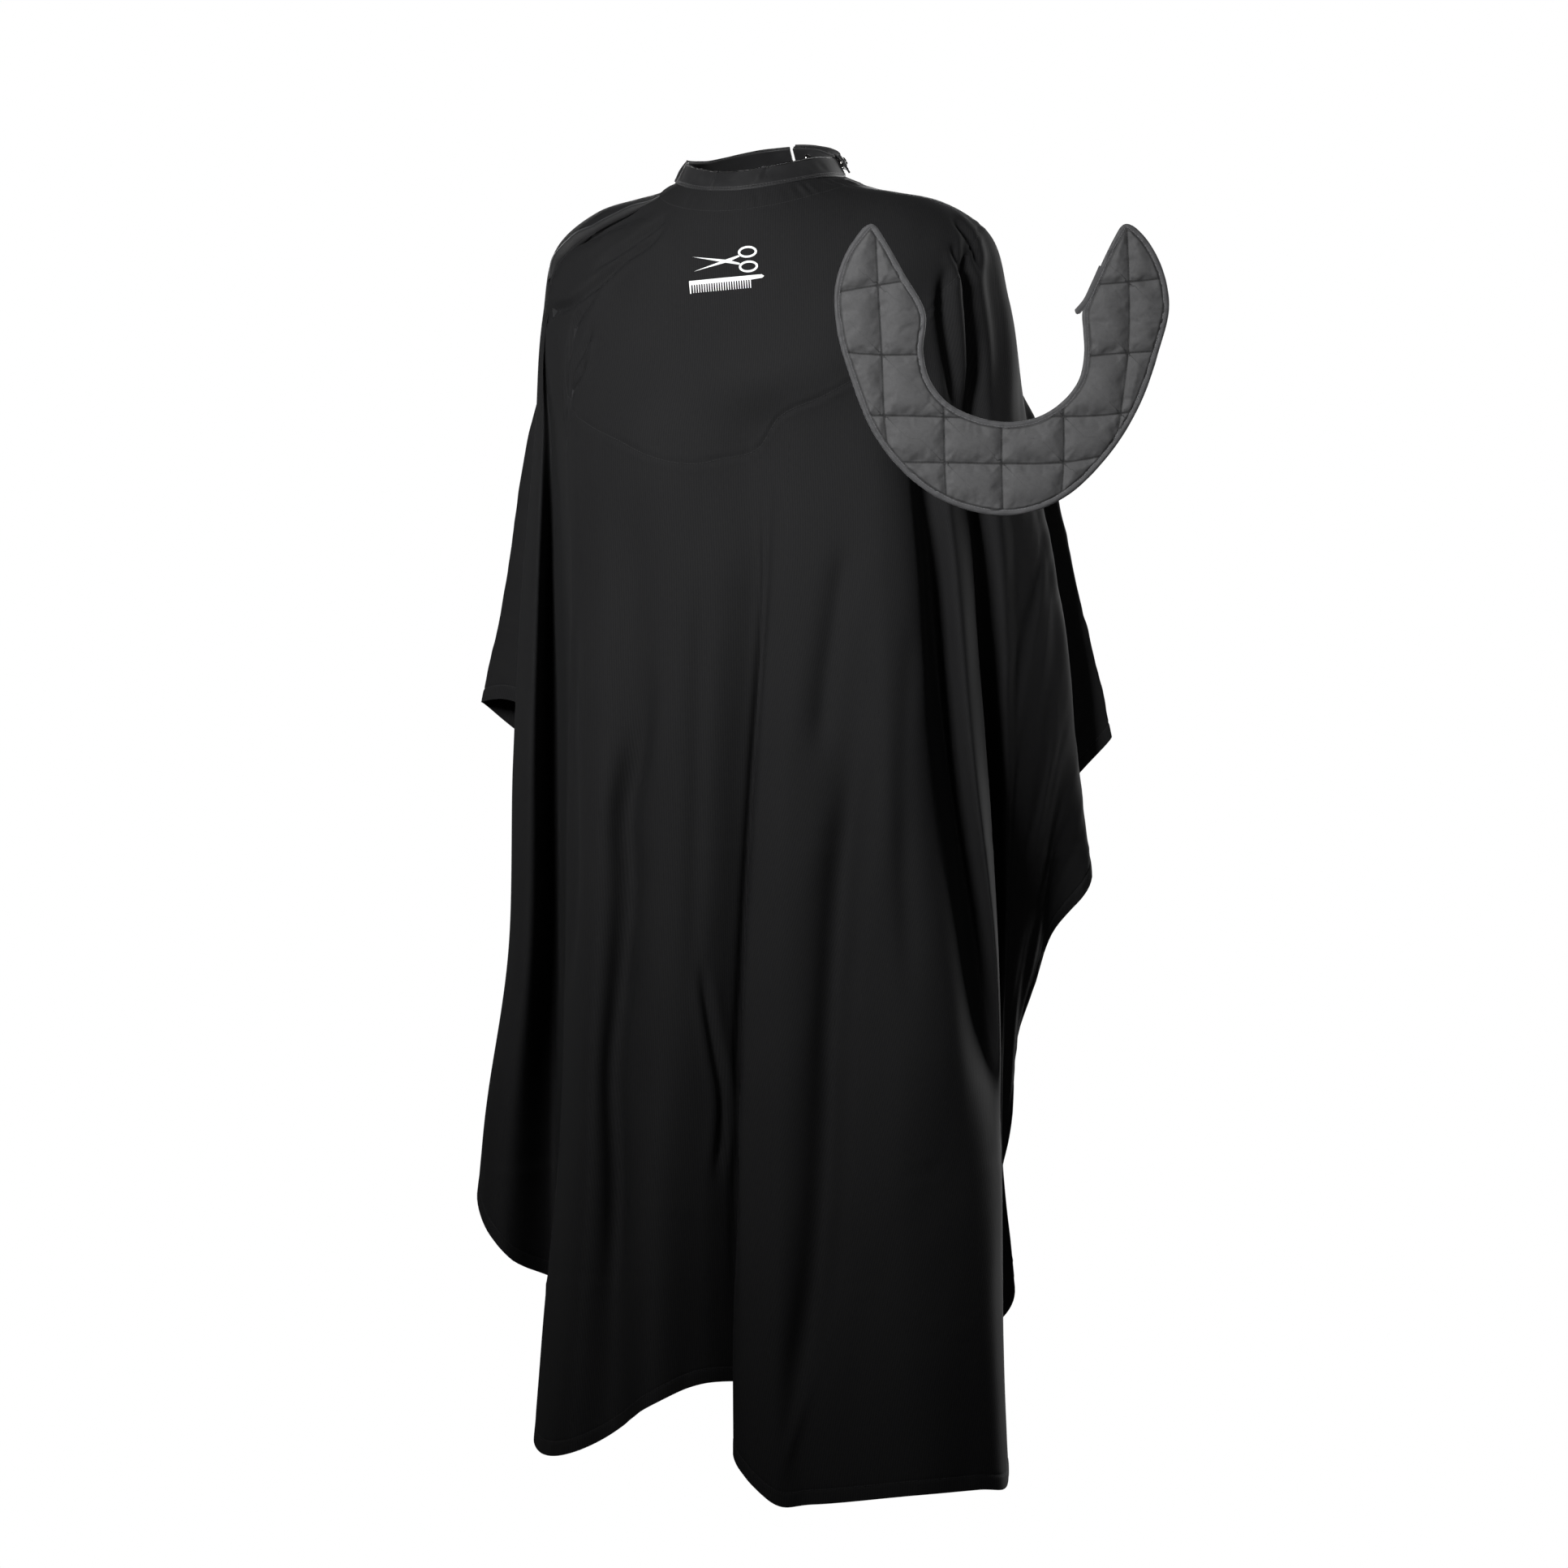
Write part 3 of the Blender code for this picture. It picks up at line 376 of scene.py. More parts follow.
# ------------------------------------------------------------------- materials
class Nodes:
    """A material's node tree, with short calls for the few kinds of node used here."""

    def __init__(self, name):
        self.material = bpy.data.materials.new(name)
        self.material.use_nodes = True
        self.tree = self.material.node_tree
        self.shader = self.tree.nodes["Principled BSDF"]

    def add(self, kind, **settings):
        node = self.tree.nodes.new(kind)
        for key, value in settings.items():
            setattr(node, key, value)
        return node

    def link(self, source, target):
        self.tree.links.new(source, target)

    def feed(self, node, number, value):
        if isinstance(value, bpy.types.NodeSocket):
            self.link(value, node.inputs[number])
        else:
            node.inputs[number].default_value = value

    def math(self, operation, a, b=0.0):
        node = self.add("ShaderNodeMath", operation=operation)
        self.feed(node, 0, a)
        self.feed(node, 1, b)
        return node.outputs[0]

    def sum(self, a, share_a, b, share_b):
        """a * share_a + b * share_b"""
        return self.math("ADD", self.math("MULTIPLY", a, share_a), self.math("MULTIPLY", b, share_b))

    def wave(self, value, pitch):
        return self.math("SINE", self.math("MULTIPLY", value, 2 * math.pi / pitch))

    def uv(self, name):
        node = self.add("ShaderNodeUVMap", uv_map=name)
        split = self.add("ShaderNodeSeparateXYZ")
        self.link(node.outputs[0], split.inputs[0])
        return node.outputs[0], split.outputs[0], split.outputs[1]

    def stretch(self, vector, scale):
        mapping = self.add("ShaderNodeMapping")
        mapping.inputs["Scale"].default_value = scale
        self.link(vector, mapping.inputs["Vector"])
        return mapping.outputs[0]

    def place(self, scale):
        """Object coordinates stretched by scale along each axis."""
        return self.stretch(self.add("ShaderNodeTexCoord").outputs["Object"], scale)

    def noise(self, vector, scale, detail=2.0, roughness=0.5):
        node = self.add("ShaderNodeTexNoise")
        self.link(vector, node.inputs["Vector"])
        node.inputs["Scale"].default_value = scale
        node.inputs["Detail"].default_value = detail
        node.inputs["Roughness"].default_value = roughness
        return node.outputs[0]

    def range(self, value, low, high, to_low, to_high):
        node = self.add("ShaderNodeMapRange")
        self.feed(node, 0, value)
        for number, bound in enumerate((low, high, to_low, to_high), start=1):
            node.inputs[number].default_value = bound
        return node.outputs[0]

    def ramp(self, value, stops):
        node = self.add("ShaderNodeValToRGB")
        self.link(value, node.inputs[0])
        elements = node.color_ramp.elements
        while len(elements) < len(stops):
            elements.new(0.5)
        for element, (at, colour) in zip(elements, stops):
            element.position = at
            element.color = (*colour, 1.0)
        return node.outputs[0]

    def mix(self, share, a, b):
        node = self.add("ShaderNodeMix", data_type="RGBA")
        self.feed(node, 0, share)
        for number, value in ((6, a), (7, b)):
            if isinstance(value, bpy.types.NodeSocket):
                self.link(value, node.inputs[number])
            else:
                node.inputs[number].default_value = (*value, 1.0)
        return node.outputs[2]

    def bump(self, height, distance, strength=1.0, below=None):
        node = self.add("ShaderNodeBump")
        node.inputs["Distance"].default_value = distance
        node.inputs["Strength"].default_value = strength
        self.link(height, node.inputs["Height"])
        if below is not None:
            self.link(below, node.inputs["Normal"])
        return node.outputs[0]

    def stitches(self, length=0.0034, half_width=0.00042):
        """Masks of the thread and of the dimple under it, from the map "stitch" (along, across); the
        dimple's mask is a bump in most cloths and painted shade in the quilted nylon.
        """
        _, along, across = self.uv("stitch")
        part = self.math("FRACT", self.math("DIVIDE", along, length))
        off = self.math("ABSOLUTE", across)
        inside = self.range(off, half_width * 0.7, half_width * 1.2, 1.0, 0.0)
        middle = self.math("ABSOLUTE", self.math("SUBTRACT", part, 0.5))
        dash = self.range(middle, 0.36, 0.44, 1.0, 0.0)
        dimple_and_shade = self.range(off, 0.0, 0.0016, 1.0, 0.0)
        return self.math("MULTIPLY", inside, dash), dimple_and_shade

    def finish(self, colour, roughness, normal, constants=None):
        """Links the shader's sockets, and sets those in constants, {socket name: value}."""
        for name, source in (("Base Color", colour), ("Roughness", roughness), ("Normal", normal)):
            self.link(source, self.shader.inputs[name])
        for name, value in (constants or {}).items():
            self.shader.inputs[name].default_value = value
        return self.material


def shade(colour, share):
    return tuple(c * share for c in colour)


def ribbed_cloth(name, dark, light, roughness, rib, sheen, specular):
    """Fine lengthwise rib of black polyester, with uneven threads and stitched lines."""
    m = Nodes(name)
    uv, along, down = m.uv("cloth")
    thread = m.noise(m.stretch(uv, (900.0, 160.0, 1.0)), 1.0, 3.0, 0.6)
    cloud = m.noise(m.stretch(uv, (9.0, 5.0, 1.0)), 1.0, 3.0, 0.55)
    weave = m.math("ADD", m.sum(m.wave(along, rib), 0.30, m.wave(down, 0.0011), 0.10), thread)
    mask, dimple_and_shade = m.stitches()
    colour = m.ramp(m.sum(weave, 0.45, cloud, 0.55), ((0.20, dark), (0.80, light)))
    colour = m.mix(mask, colour, shade(light, 1.5))
    rough = m.range(cloud, 0.3, 0.7, roughness - 0.04, roughness + 0.05)
    normal = m.bump(weave, 0.00016, 0.55)
    normal = m.bump(dimple_and_shade, 0.0010, -0.8, normal)
    normal = m.bump(mask, 0.0005, 0.9, normal)
    return m.finish(colour, rough, normal, {
        "Sheen Weight": sheen, "Sheen Roughness": 0.45, "Sheen Tint": (0.8, 0.82, 0.85, 1.0),
        "Specular IOR Level": specular})


def quilted_nylon(name, dark, light, roughness):
    """Plain-weave nylon with a dull sheen, dark thread along its quilting, and painted shade along its
    seams and along the tape's inner edge.
    """
    m = Nodes(name)
    cross = m.noise(m.place((1500.0, 1500.0, 260.0)), 1.0)
    down = m.noise(m.place((260.0, 260.0, 1500.0)), 1.0)
    weave = m.math("ADD", cross, down)
    cloud = m.noise(m.place((1.0, 1.0, 1.0)), 38.0, 4.0, 0.6)
    mask, dimple_and_shade = m.stitches(0.0030, 0.00038)
    _, _, from_tape = m.uv("rim")
    rim = m.range(m.math("ABSOLUTE", from_tape), 0.0, 0.0016, 1.0, 0.0)
    colour = m.ramp(m.sum(weave, 0.30, cloud, 0.45), ((0.30, dark), (0.75, light)))
    # Painted shade: a dark line along the tape's inner edge, where the quilt meets the binding.
    colour = m.mix(m.math("MULTIPLY", rim, 0.75), colour, shade(dark, 0.35))
    # Painted shade along the quilting seams, darkest at the stitching.
    colour = m.mix(dimple_and_shade, colour, shade(dark, 0.15))
    colour = m.mix(m.math("MULTIPLY", mask, 0.6), colour, shade(dark, 0.8))
    normal = m.bump(weave, 0.00010, 0.5)
    normal = m.bump(cloud, 0.0010, 0.25, normal)
    normal = m.bump(mask, 0.0004, 0.8, normal)
    rough = m.range(cloud, 0.3, 0.7, roughness - 0.05, roughness + 0.05)
    return m.finish(colour, rough, normal, {"Sheen Weight": 0.05, "Specular IOR Level": 0.20})


def tape_cloth(name, dark, light, roughness, specular):
    """Smooth satin tape, with its threads running lengthwise and stitched lines."""
    m = Nodes(name)
    uv, _, up = m.uv("cloth")
    fine = m.noise(m.stretch(uv, (260.0, 2600.0, 1.0)), 1.0)
    cloud = m.noise(m.stretch(uv, (28.0, 60.0, 1.0)), 1.0, 3.0)
    mask, dimple_and_shade = m.stitches()
    colour = m.ramp(m.sum(fine, 0.5, cloud, 0.5), ((0.25, dark), (0.75, light)))
    colour = m.mix(mask, colour, shade(light, 1.4))
    normal = m.bump(m.sum(fine, 1.0, m.wave(up, 0.0009), 0.25), 0.00010, 0.4)
    normal = m.bump(dimple_and_shade, 0.0008, -0.7, normal)
    normal = m.bump(mask, 0.0004, 0.8, normal)
    rough = m.range(cloud, 0.3, 0.7, roughness - 0.05, roughness + 0.06)
    return m.finish(colour, rough, normal, {"Sheen Weight": 0.12, "Specular IOR Level": specular})


def plain_cloth(name, dark, light, roughness):
    """Matte woven cloth for what lies hidden, from object coordinates."""
    m = Nodes(name)
    weave = m.noise(m.place((1400.0, 1400.0, 500.0)), 1.0)
    cloud = m.noise(m.place((20.0, 20.0, 20.0)), 1.0, 3.0)
    colour = m.ramp(m.sum(weave, 0.5, cloud, 0.5), ((0.25, dark), (0.75, light)))
    rough = m.range(cloud, 0.3, 0.7, roughness - 0.05, roughness + 0.05)
    return m.finish(colour, rough, m.bump(weave, 0.0001, 0.5))


def nickel(name):
    """Polished nickel plate, with faint handling marks."""
    m = Nodes(name)
    cloud = m.noise(m.place((160.0, 160.0, 160.0)), 1.0, 4.0, 0.6)
    marks = m.noise(m.place((2600.0, 400.0, 900.0)), 1.0)
    colour = m.ramp(cloud, ((0.30, (0.62, 0.61, 0.59)), (0.75, (0.80, 0.79, 0.77))))
    rough = m.range(cloud, 0.3, 0.7, 0.13, 0.26)
    return m.finish(colour, rough, m.bump(marks, 0.00003, 0.4), {"Metallic": 1.0})


def glass_beads(name):
    """A mass of small round beads, as bumps, with painted shade where they meet."""
    m = Nodes(name)
    cells = m.add("ShaderNodeTexVoronoi")
    m.link(m.place((1.0, 1.0, 1.0)), cells.inputs["Vector"])
    cells.inputs["Scale"].default_value = 1100.0
    off = cells.outputs["Distance"]
    # Painted shade: each bead lighter in its middle and darker where it meets the next.
    colour = m.ramp(off, ((0.10, (0.80, 0.82, 0.82)), (0.70, (0.42, 0.44, 0.45))))
    rough = m.range(off, 0.0, 0.6, 0.12, 0.35)
    normal = m.bump(m.math("SUBTRACT", 1.0, off), 0.0004, 0.8)
    return m.finish(colour, rough, normal, {"Specular IOR Level": 0.6})


def print_ink(name):
    """White print: a thin plastic film that shows the rib under it."""
    m = Nodes(name)
    _, along, _ = m.uv("cloth")
    grain = m.noise(m.place((900.0, 900.0, 900.0)), 1.0)
    colour = m.ramp(grain, ((0.25, (0.74, 0.75, 0.75)), (0.75, (0.86, 0.86, 0.86))))
    rough = m.range(grain, 0.3, 0.7, 0.42, 0.55)
    ribs = m.sum(m.wave(along, RIB_PITCH), 0.3, grain, 1.0)
    return m.finish(colour, rough, m.bump(ribs, 0.00012, 0.5))


RIB_PITCH = 0.0026                # from one rib of the cape's cloth to the next
BLACK_CLOTH = ribbed_cloth(
    "cape_cloth", (.0075, .0075, .0080), (.0150, .0150, .0155), .80, RIB_PITCH, .015, .10)
LINING_CLOTH = ribbed_cloth(
    "lining_cloth", (.010, .010, .0105), (.018, .018, .0185), .68, .0012, .10, .22)
BAND_SATIN = tape_cloth("band_satin", (.0075, .0075, .0080), (.0155, .0155, .0163), .50, .20)
GREY_NYLON = quilted_nylon("grey_nylon", (.056, .056, .057), (.090, .090, .092), .70)
GREY_BINDING = tape_cloth("grey_binding", (.050, .050, .052), (.082, .082, .085), .62, .22)
STIFFENER = plain_cloth("stiffener", (.42, .42, .40), (.58, .58, .56), .85)
NICKEL = nickel("snap_nickel")
BEADS = glass_beads("glass_beads")
WHITE_INK = print_ink("white_ink")


# -------------------------------------------------------------------- the cape
def row_distances(length):
    """Distances below the neck seam of a column's rows."""
    chest = np.linspace(0.0, 1.0, CHEST_ROWS) * min(CHEST_DEPTH, CHEST_SHARE * length)
    skirt = np.linspace(chest[-1], length - HEM_ROWS[0], SKIRT_ROWS + 1)[1:-1]
    return np.concatenate([chest, skirt, length - np.array(HEM_ROWS)])


def hanging_grid():
    """The bare drape: points (columns, rows, 3), and each point's distance below the seam."""
    places = np.linspace(0.0, 1.0, COLUMNS + 1)
    guides, ends = guide_points(places)
    grid = []
    below = []
    for guide, end in zip(guides, ends):
        curve = column_curve(guide, end)
        run = run_of(curve)
        distances = row_distances(run[-1])
        grid.append(read_at(distances, run, curve))
        below.append(distances)
    grid = np.array(grid)
    grid[..., 2] -= SEAM_DROP
    below = np.array(below)
    # The seam allowance, tucked up between the layers of the neckband.
    seam = grid[:, 0]
    out = np.stack([seam[:, 0] / NECK_WIDE, seam[:, 1] / NECK_DEEP, np.zeros(len(seam))], -1)
    out /= np.linalg.norm(out, axis=1, keepdims=True)
    rise = np.array([0.0, 0.0, 1.0])
    up = rise * math.cos(BAND_LEAN) - out * math.sin(BAND_LEAN)
    normal = out * math.cos(BAND_LEAN) + rise * math.sin(BAND_LEAN)
    tucked = [seam + rise * BAND_LIFT + up * height - normal * 0.0015 for height in (0.010, 0.003)]
    grid = np.concatenate([np.stack(tucked, 1), grid], axis=1)
    below = np.concatenate([np.tile([-0.011, -0.004], (len(seam), 1)), below], axis=1)
    return grid, below


def sideways(grid):
    """Distance along each row from the column at the middle of the front."""
    steps = np.linalg.norm(np.diff(grid, axis=0), axis=2)
    run = np.concatenate([np.zeros((1, grid.shape[1])), np.cumsum(steps, axis=0)])
    middle = int(round(0.468 * COLUMNS))
    return run - run[middle]


def on_cloth(line, aside, below):
    """A line of (place, distance) as (aside, below), both measured along the cloth."""
    flat = []
    for place, distance in line:
        column = place * COLUMNS
        low = int(column)
        share = column - low
        reads = [np.interp(distance, below[c], aside[c]) for c in (low, min(low + 1, COLUMNS))]
        flat.append((reads[0] * (1 - share) + reads[1] * share, distance))
    return np.array(flat)


def fold_fields(points, line, grown, fading):
    """Distance of each of points from a fold's line, and its strength there: it has grown to the full
    depth at one share of its length, and fades out from the other."""
    across, along = line_fields(points, line)
    end = run_of(line)[-1]
    strength = step_up(along, -0.001, grown * end) * (1 - step_up(along, fading * end, end + 0.001))
    return np.abs(across), strength


def add_unevenness(rise, places, below, aside):
    """Soft unevenness, long down the folds and short across them, less on the chest."""
    skirt = step_up(below, 0.20, 0.70)
    front = step_up(places, 0.36, 0.40) * (1 - step_up(places, 0.60, 0.64))
    rise += skirt * (0.0010 + 0.0012 * front) * noise(aside / 0.070, below / 0.50, 11)
    rise += skirt * (0.0003 + 0.0006 * front) * noise(aside / 0.030, below / 0.40, 12)
    rise += 0.0005 * noise(aside / 0.050 + below / 0.11, below / 0.16, 13)
    # Cloth eased into the neckband, most at the sides.
    sides = np.abs(np.sin(places * 2 * math.pi + 0.2))
    eased = noise(places * 95.0, below / 0.06, 14)
    rise += (0.25 + 0.75 * sides) * 0.0014 * bell(below - 0.006, 0.014) * eased


def add_folds(rise, grid, places, below, aside):
    """The creases on the shoulders, the front panels' folds, and the left upper arm, which stands out
    a little."""
    flat = np.stack([aside.ravel(), below.ravel()], -1)
    for line, depth, half, ridge in CREASES:
        path = dense_line(on_cloth(line, aside, below), 0.006)
        across, strength = fold_fields(flat, path, 0.25, 0.70)
        fall = bell(across, half) * depth
        lift = bell(across - 2.1 * half, 1.3 * half) * ridge
        rise += ((lift - fall) * strength).reshape(below.shape)

    seen = np.stack([(grid[..., 0] * math.cos(TURN) + grid[..., 1] * math.sin(TURN)).ravel(),
                     (grid[..., 2] + SEAM_DROP).ravel()], -1)
    panels = step_up(places, *FRONT_PLACES[:2]) * (1 - step_up(places, *FRONT_PLACES[2:]))
    for line, depth, half in FRONT_FOLDS:
        across, strength = fold_fields(seen, dense_line(line, 0.010), 0.22, 0.78)
        fall = bell(across, half) - 0.30 * bell(across - 2.2 * half, 1.3 * half)
        rise -= panels * (fall * strength * depth).reshape(below.shape)

    arm = step_up(places, 0.735, 0.790) * (1 - step_up(places, 0.825, 0.875))
    rise += 0.010 * arm * bell(below - 0.275, 0.100)


def cape_detail(grid, below, aside):
    """How far each point is moved outwards: creases, puckers, the hem, and soft unevenness.
    Also the map of stitched lines, (along, across)."""
    shape = below.shape
    edge = below[:, -1:] - below
    slit = np.minimum(aside - aside[0], aside[-1] - aside)
    places = np.linspace(0.0, 1.0, shape[0])[:, None]
    rise = np.zeros(shape)
    add_unevenness(rise, places, below, aside)
    add_folds(rise, grid, places, below, aside)

    # Storage creases, sharp but shallow.
    for height, phase, strength in STORAGE_CREASES:
        wander = 0.010 * noise(aside / 0.35, phase, 15)
        off = grid[..., 2] - height - wander
        patchy = step_up(noise(aside / 0.16, phase + 3.0, 16), -0.1, 0.5)
        rise += strength * (bell(off, 0.0035) - 0.6 * bell(off - 0.010, 0.008)) * patchy

    rise *= step_up(below, 0.0005, 0.0080)
    stitch_along = aside.copy()
    stitch_across = np.full(shape, 1.0)

    def stitched(across, along):
        nearer = np.abs(across) < np.abs(stitch_across)
        stitch_across[nearer] = across[nearer]
        stitch_along[nearer] = along[nearer]

    from_neck = below - NECK_LINE
    stitched(from_neck, aside)
    rise += -0.0005 * bell(from_neck, 0.0022) + 0.0004 * bell(from_neck + 0.006, 0.004)
    rise += 0.0003 * bell(from_neck, 0.006) * noise(aside / 0.006, 0.0, 17)

    pocket = dense_line(on_cloth(POCKET_SEEN, aside, below), 0.004)
    across, along = line_fields(np.stack([aside.ravel(), below.ravel()], -1), pocket)
    across = across.reshape(shape)
    along = along.reshape(shape)
    stitched(across, along)
    pull = 0.25 + 0.75 * step_up(places, 0.325, 0.350)
    rise += pull * (-0.0011 * bell(across, 0.0024) + 0.0006 * bell(np.abs(across) - 0.005, 0.003))
    rise += pull * 0.0006 * bell(across, 0.008) * noise(along / 0.008, across / 0.02, 18)

    # Hems: two layers, slightly proud, drawn in along the stitching.
    for distance, run in ((edge, aside), (slit, below)):
        stitched(distance - HEM_STITCH, run)
        rise += 0.0004 * (1 - step_up(distance, HEM_STITCH - 0.001, HEM_STITCH + 0.001))
        rise += -0.0005 * bell(distance - HEM_STITCH, 0.0016)
        rise += 0.0007 * bell(distance - HEM_STITCH * 0.6, 0.012) * noise(run / 0.011, 1.0, 19)
    return rise, np.stack([stitch_along, stitch_across], -1)


def hem_layer(from_edge, points, outward):
    """The folded-in layer of a hem, (lines, HEM_IN, 3). Each line of points runs in from the edge, and
    from_edge is how far."""
    layer = []
    for run, line, aims in zip(from_edge, points, outward):
        layer.append(read_at(HEM_IN, run, line) - read_at(HEM_IN, run, aims) * HEM_DEEP[:, None])
    return np.array(layer)


def build_cape():
    grid, below = hanging_grid()
    aside = sideways(grid)
    rise, stitch = cape_detail(grid, below, aside)
    grid = grid + grid_normals(grid) * rise[..., None]
    outward = grid_normals(grid)
    columns, rows = below.shape
    layers = [(grid, np.stack([aside, below], -1), stitch, grid_faces(columns, rows))]
    count = columns * rows

    # The bottom hem's folded-in layer.
    from_edge = (below[:, -1:] - below)[:, ::-1]
    layer = hem_layer(from_edge, grid[:, ::-1], outward[:, ::-1])
    along, up = np.meshgrid(aside[:, -1], HEM_IN, indexing="ij")
    layers.append((layer, np.stack([along, up], -1), np.stack([along, HEM_STITCH - up], -1),
                   grid_faces(columns, len(HEM_IN), count)))
    count += along.size

    # Those of the slit's two edges.
    for first in (True, False):
        order = slice(None) if first else slice(None, None, -1)
        beside = [values[order][:SLIT_COLUMNS] for values in (aside, grid, outward)]
        from_edge = np.abs(beside[0] - beside[0][0])
        layer = hem_layer(from_edge.T, beside[1].transpose(1, 0, 2), beside[2].transpose(1, 0, 2))
        side, down = np.meshgrid(HEM_IN, below[order][0], indexing="ij")
        layers.append((layer.transpose(1, 0, 2), np.stack([side, down], -1),
                       np.stack([down, HEM_STITCH - side], -1),
                       grid_faces(len(HEM_IN), rows, count, flip=first)))
        count += side.size

    points = np.concatenate([layer[0].reshape(-1, 3) for layer in layers])
    cloth = np.concatenate([layer[1].reshape(-1, 2) for layer in layers])
    lines = np.concatenate([layer[2].reshape(-1, 2) for layer in layers])
    faces = np.concatenate([layer[3] for layer in layers])
    cape = mesh_object("cape_cloth", points, faces, BLACK_CLOTH, {"cloth": cloth, "stitch": lines})
    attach(cape, "cape")
    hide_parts("cape_shell")
    return grid, outward, below, aside


# ---------------------------------------------------------- the pocket's lining
LINING_COLUMNS = 240
LINING_ROWS = 60


def build_lining(grid, outward, below, aside):
    """The inner layer that makes the pocket, from the neck stitching to the stitched outline."""
    outline = np.array(POCKET_OUTLINE)
    order = np.argsort(outline[:, 0], kind="stable")
    places = np.linspace(0.060, 0.940, LINING_COLUMNS + 1)
    reach = np.interp(places, outline[order, 0], outline[order, 1])
    points = []
    cloth = []
    for place, end in zip(places, reach):
        i = int(round(place * COLUMNS))
        distances = np.linspace(NECK_LINE, end, LINING_ROWS + 1)
        loose = step_up(distances, 0.022, 0.060) * (1 - step_up(distances, end - 0.030, end))
        deep = 0.0012 + 0.0070 * loose
        aims = read_at(distances, below[i], outward[i])
        points.append(read_at(distances, below[i], grid[i]) - aims * deep[:, None])
        cloth.append(np.stack([np.interp(distances, below[i], aside[i]), distances], -1))
    points = np.array(points)
    cloth = np.array(cloth)
    columns, rows = points.shape[:2]
    from_end = np.tile((rows - 1 - np.arange(rows)) * 0.004 - 0.002, (columns, 1))
    stitch = np.stack([cloth[..., 0], from_end], -1)
    lining = mesh_object("pocket_lining", points.reshape(-1, 3), grid_faces(columns, rows, flip=True),
                         LINING_CLOTH, {"cloth": cloth.reshape(-1, 2), "stitch": stitch.reshape(-1, 2)})
    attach(lining, "cape")
    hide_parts("pocket_facing")


# ---------------------------------------------------------------- the neckband
# Heights and depths of the band, and the tab's ends in degrees from the front.
BAND_HEIGHT = 0.0240
NECK_WIDE = .092                   # half width of the neck seam, and half its depth
NECK_DEEP = .086
BAND_LEAN = math.radians(30.0)     # inwards, from upright
BAND_LIFT = 0.0016                 # from the seam to the band's foot
BAND_STOP = 178.5                  # its ends, in degrees to each side
OUTER_THICK = 0.0009               # one outer strip, as in the CAD
BAND_DEPTH = 0.0030                # all three layers of the band
TAB_TIP = 109.0
TAB_ROOT = 179.0
TAB_FACE = 0.0050                  # inner side of the tab, outside the band
TAB_DEPTH = 0.0019
BAND_RUN = (.0006, .0012, .0017, .0022, .0028, .0036, .0042, .0047, .0053, .0062, .008, .011, .0145,
            .018, .021, .0235, .0250)      # heights of its corners up the outer face


def band_point(angle, height, outwards):
    """Point of the neckband: angle from the front in radians, height up its slope, and distance
    outside its outer face."""
    seam = ring_points(SHOULDER_RINGS[0], np.array([angle]))[0]
    out = np.array([seam[0] / NECK_WIDE, seam[1] / NECK_DEEP, 0.0])
    out /= np.linalg.norm(out)
    up = np.array([0.0, 0.0, math.cos(BAND_LEAN)]) - out * math.sin(BAND_LEAN)
    normal = out * math.cos(BAND_LEAN) + np.array([0.0, 0.0, math.sin(BAND_LEAN)])
    base = seam + np.array([0.0, 0.0, BAND_LIFT - SEAM_DROP])
    return base + up * height + normal * outwards


def band_section(height, depth, rounding, steps=4):
    """Closed section of a folded band, (height, outwards), clockwise from the foot of its outer
    face, with a finer run up the outer face where it is stitched."""
    loop = [(h * height / BAND_HEIGHT, 0.0) for h in BAND_RUN]
    for k in range(steps + 1):
        a = math.pi * k / steps
        loop.append((height - rounding + rounding * math.sin(a), -depth / 2 + depth / 2 * math.cos(a)))
    loop += [(h * height / BAND_HEIGHT, -depth) for h in (.022, .016, .010, .005, .001)]
    return loop


def band_mesh(name, start, stop, count, section, face, low, shape, stitch_rows):
    """Band swept from start to stop degrees. shape(angle, height, outside) gives the unevenness of each
    point, (outwards, up); stitch_rows are the heights of the stitched lines."""
    run = 0.0
    before = None
    points = []
    cloth = []
    lines = []
    for angle in np.radians(np.linspace(start, stop, count + 1)):
        here = band_point(angle, 0.0, 0.0)
        if before is not None:
            run += float(np.linalg.norm(here - before))
        before = here
        for height, outwards in section:
            outside = outwards > -0.0005
            push, lift = shape(angle, height / BAND_HEIGHT, outside)
            points.append(band_point(angle, low + height + lift, face + outwards + push))
            cloth.append((run, height + (0.0 if outside else 0.03)))
            near = min(stitch_rows, key=lambda row: abs(height - row))
            lines.append((run, height - near if outside else 0.01))
    rows = len(section)
    quads = []
    for i in range(count):
        for j in range(rows):
            n = (j + 1) % rows
            quads.append((i * rows + j, (i + 1) * rows + j, (i + 1) * rows + n, i * rows + n))
    quads.append(tuple(range(rows)))
    quads.append(tuple(reversed(range(count * rows, (count + 1) * rows))))
    return mesh_object(name, points, quads, BAND_SATIN, {"cloth": cloth, "stitch": lines})


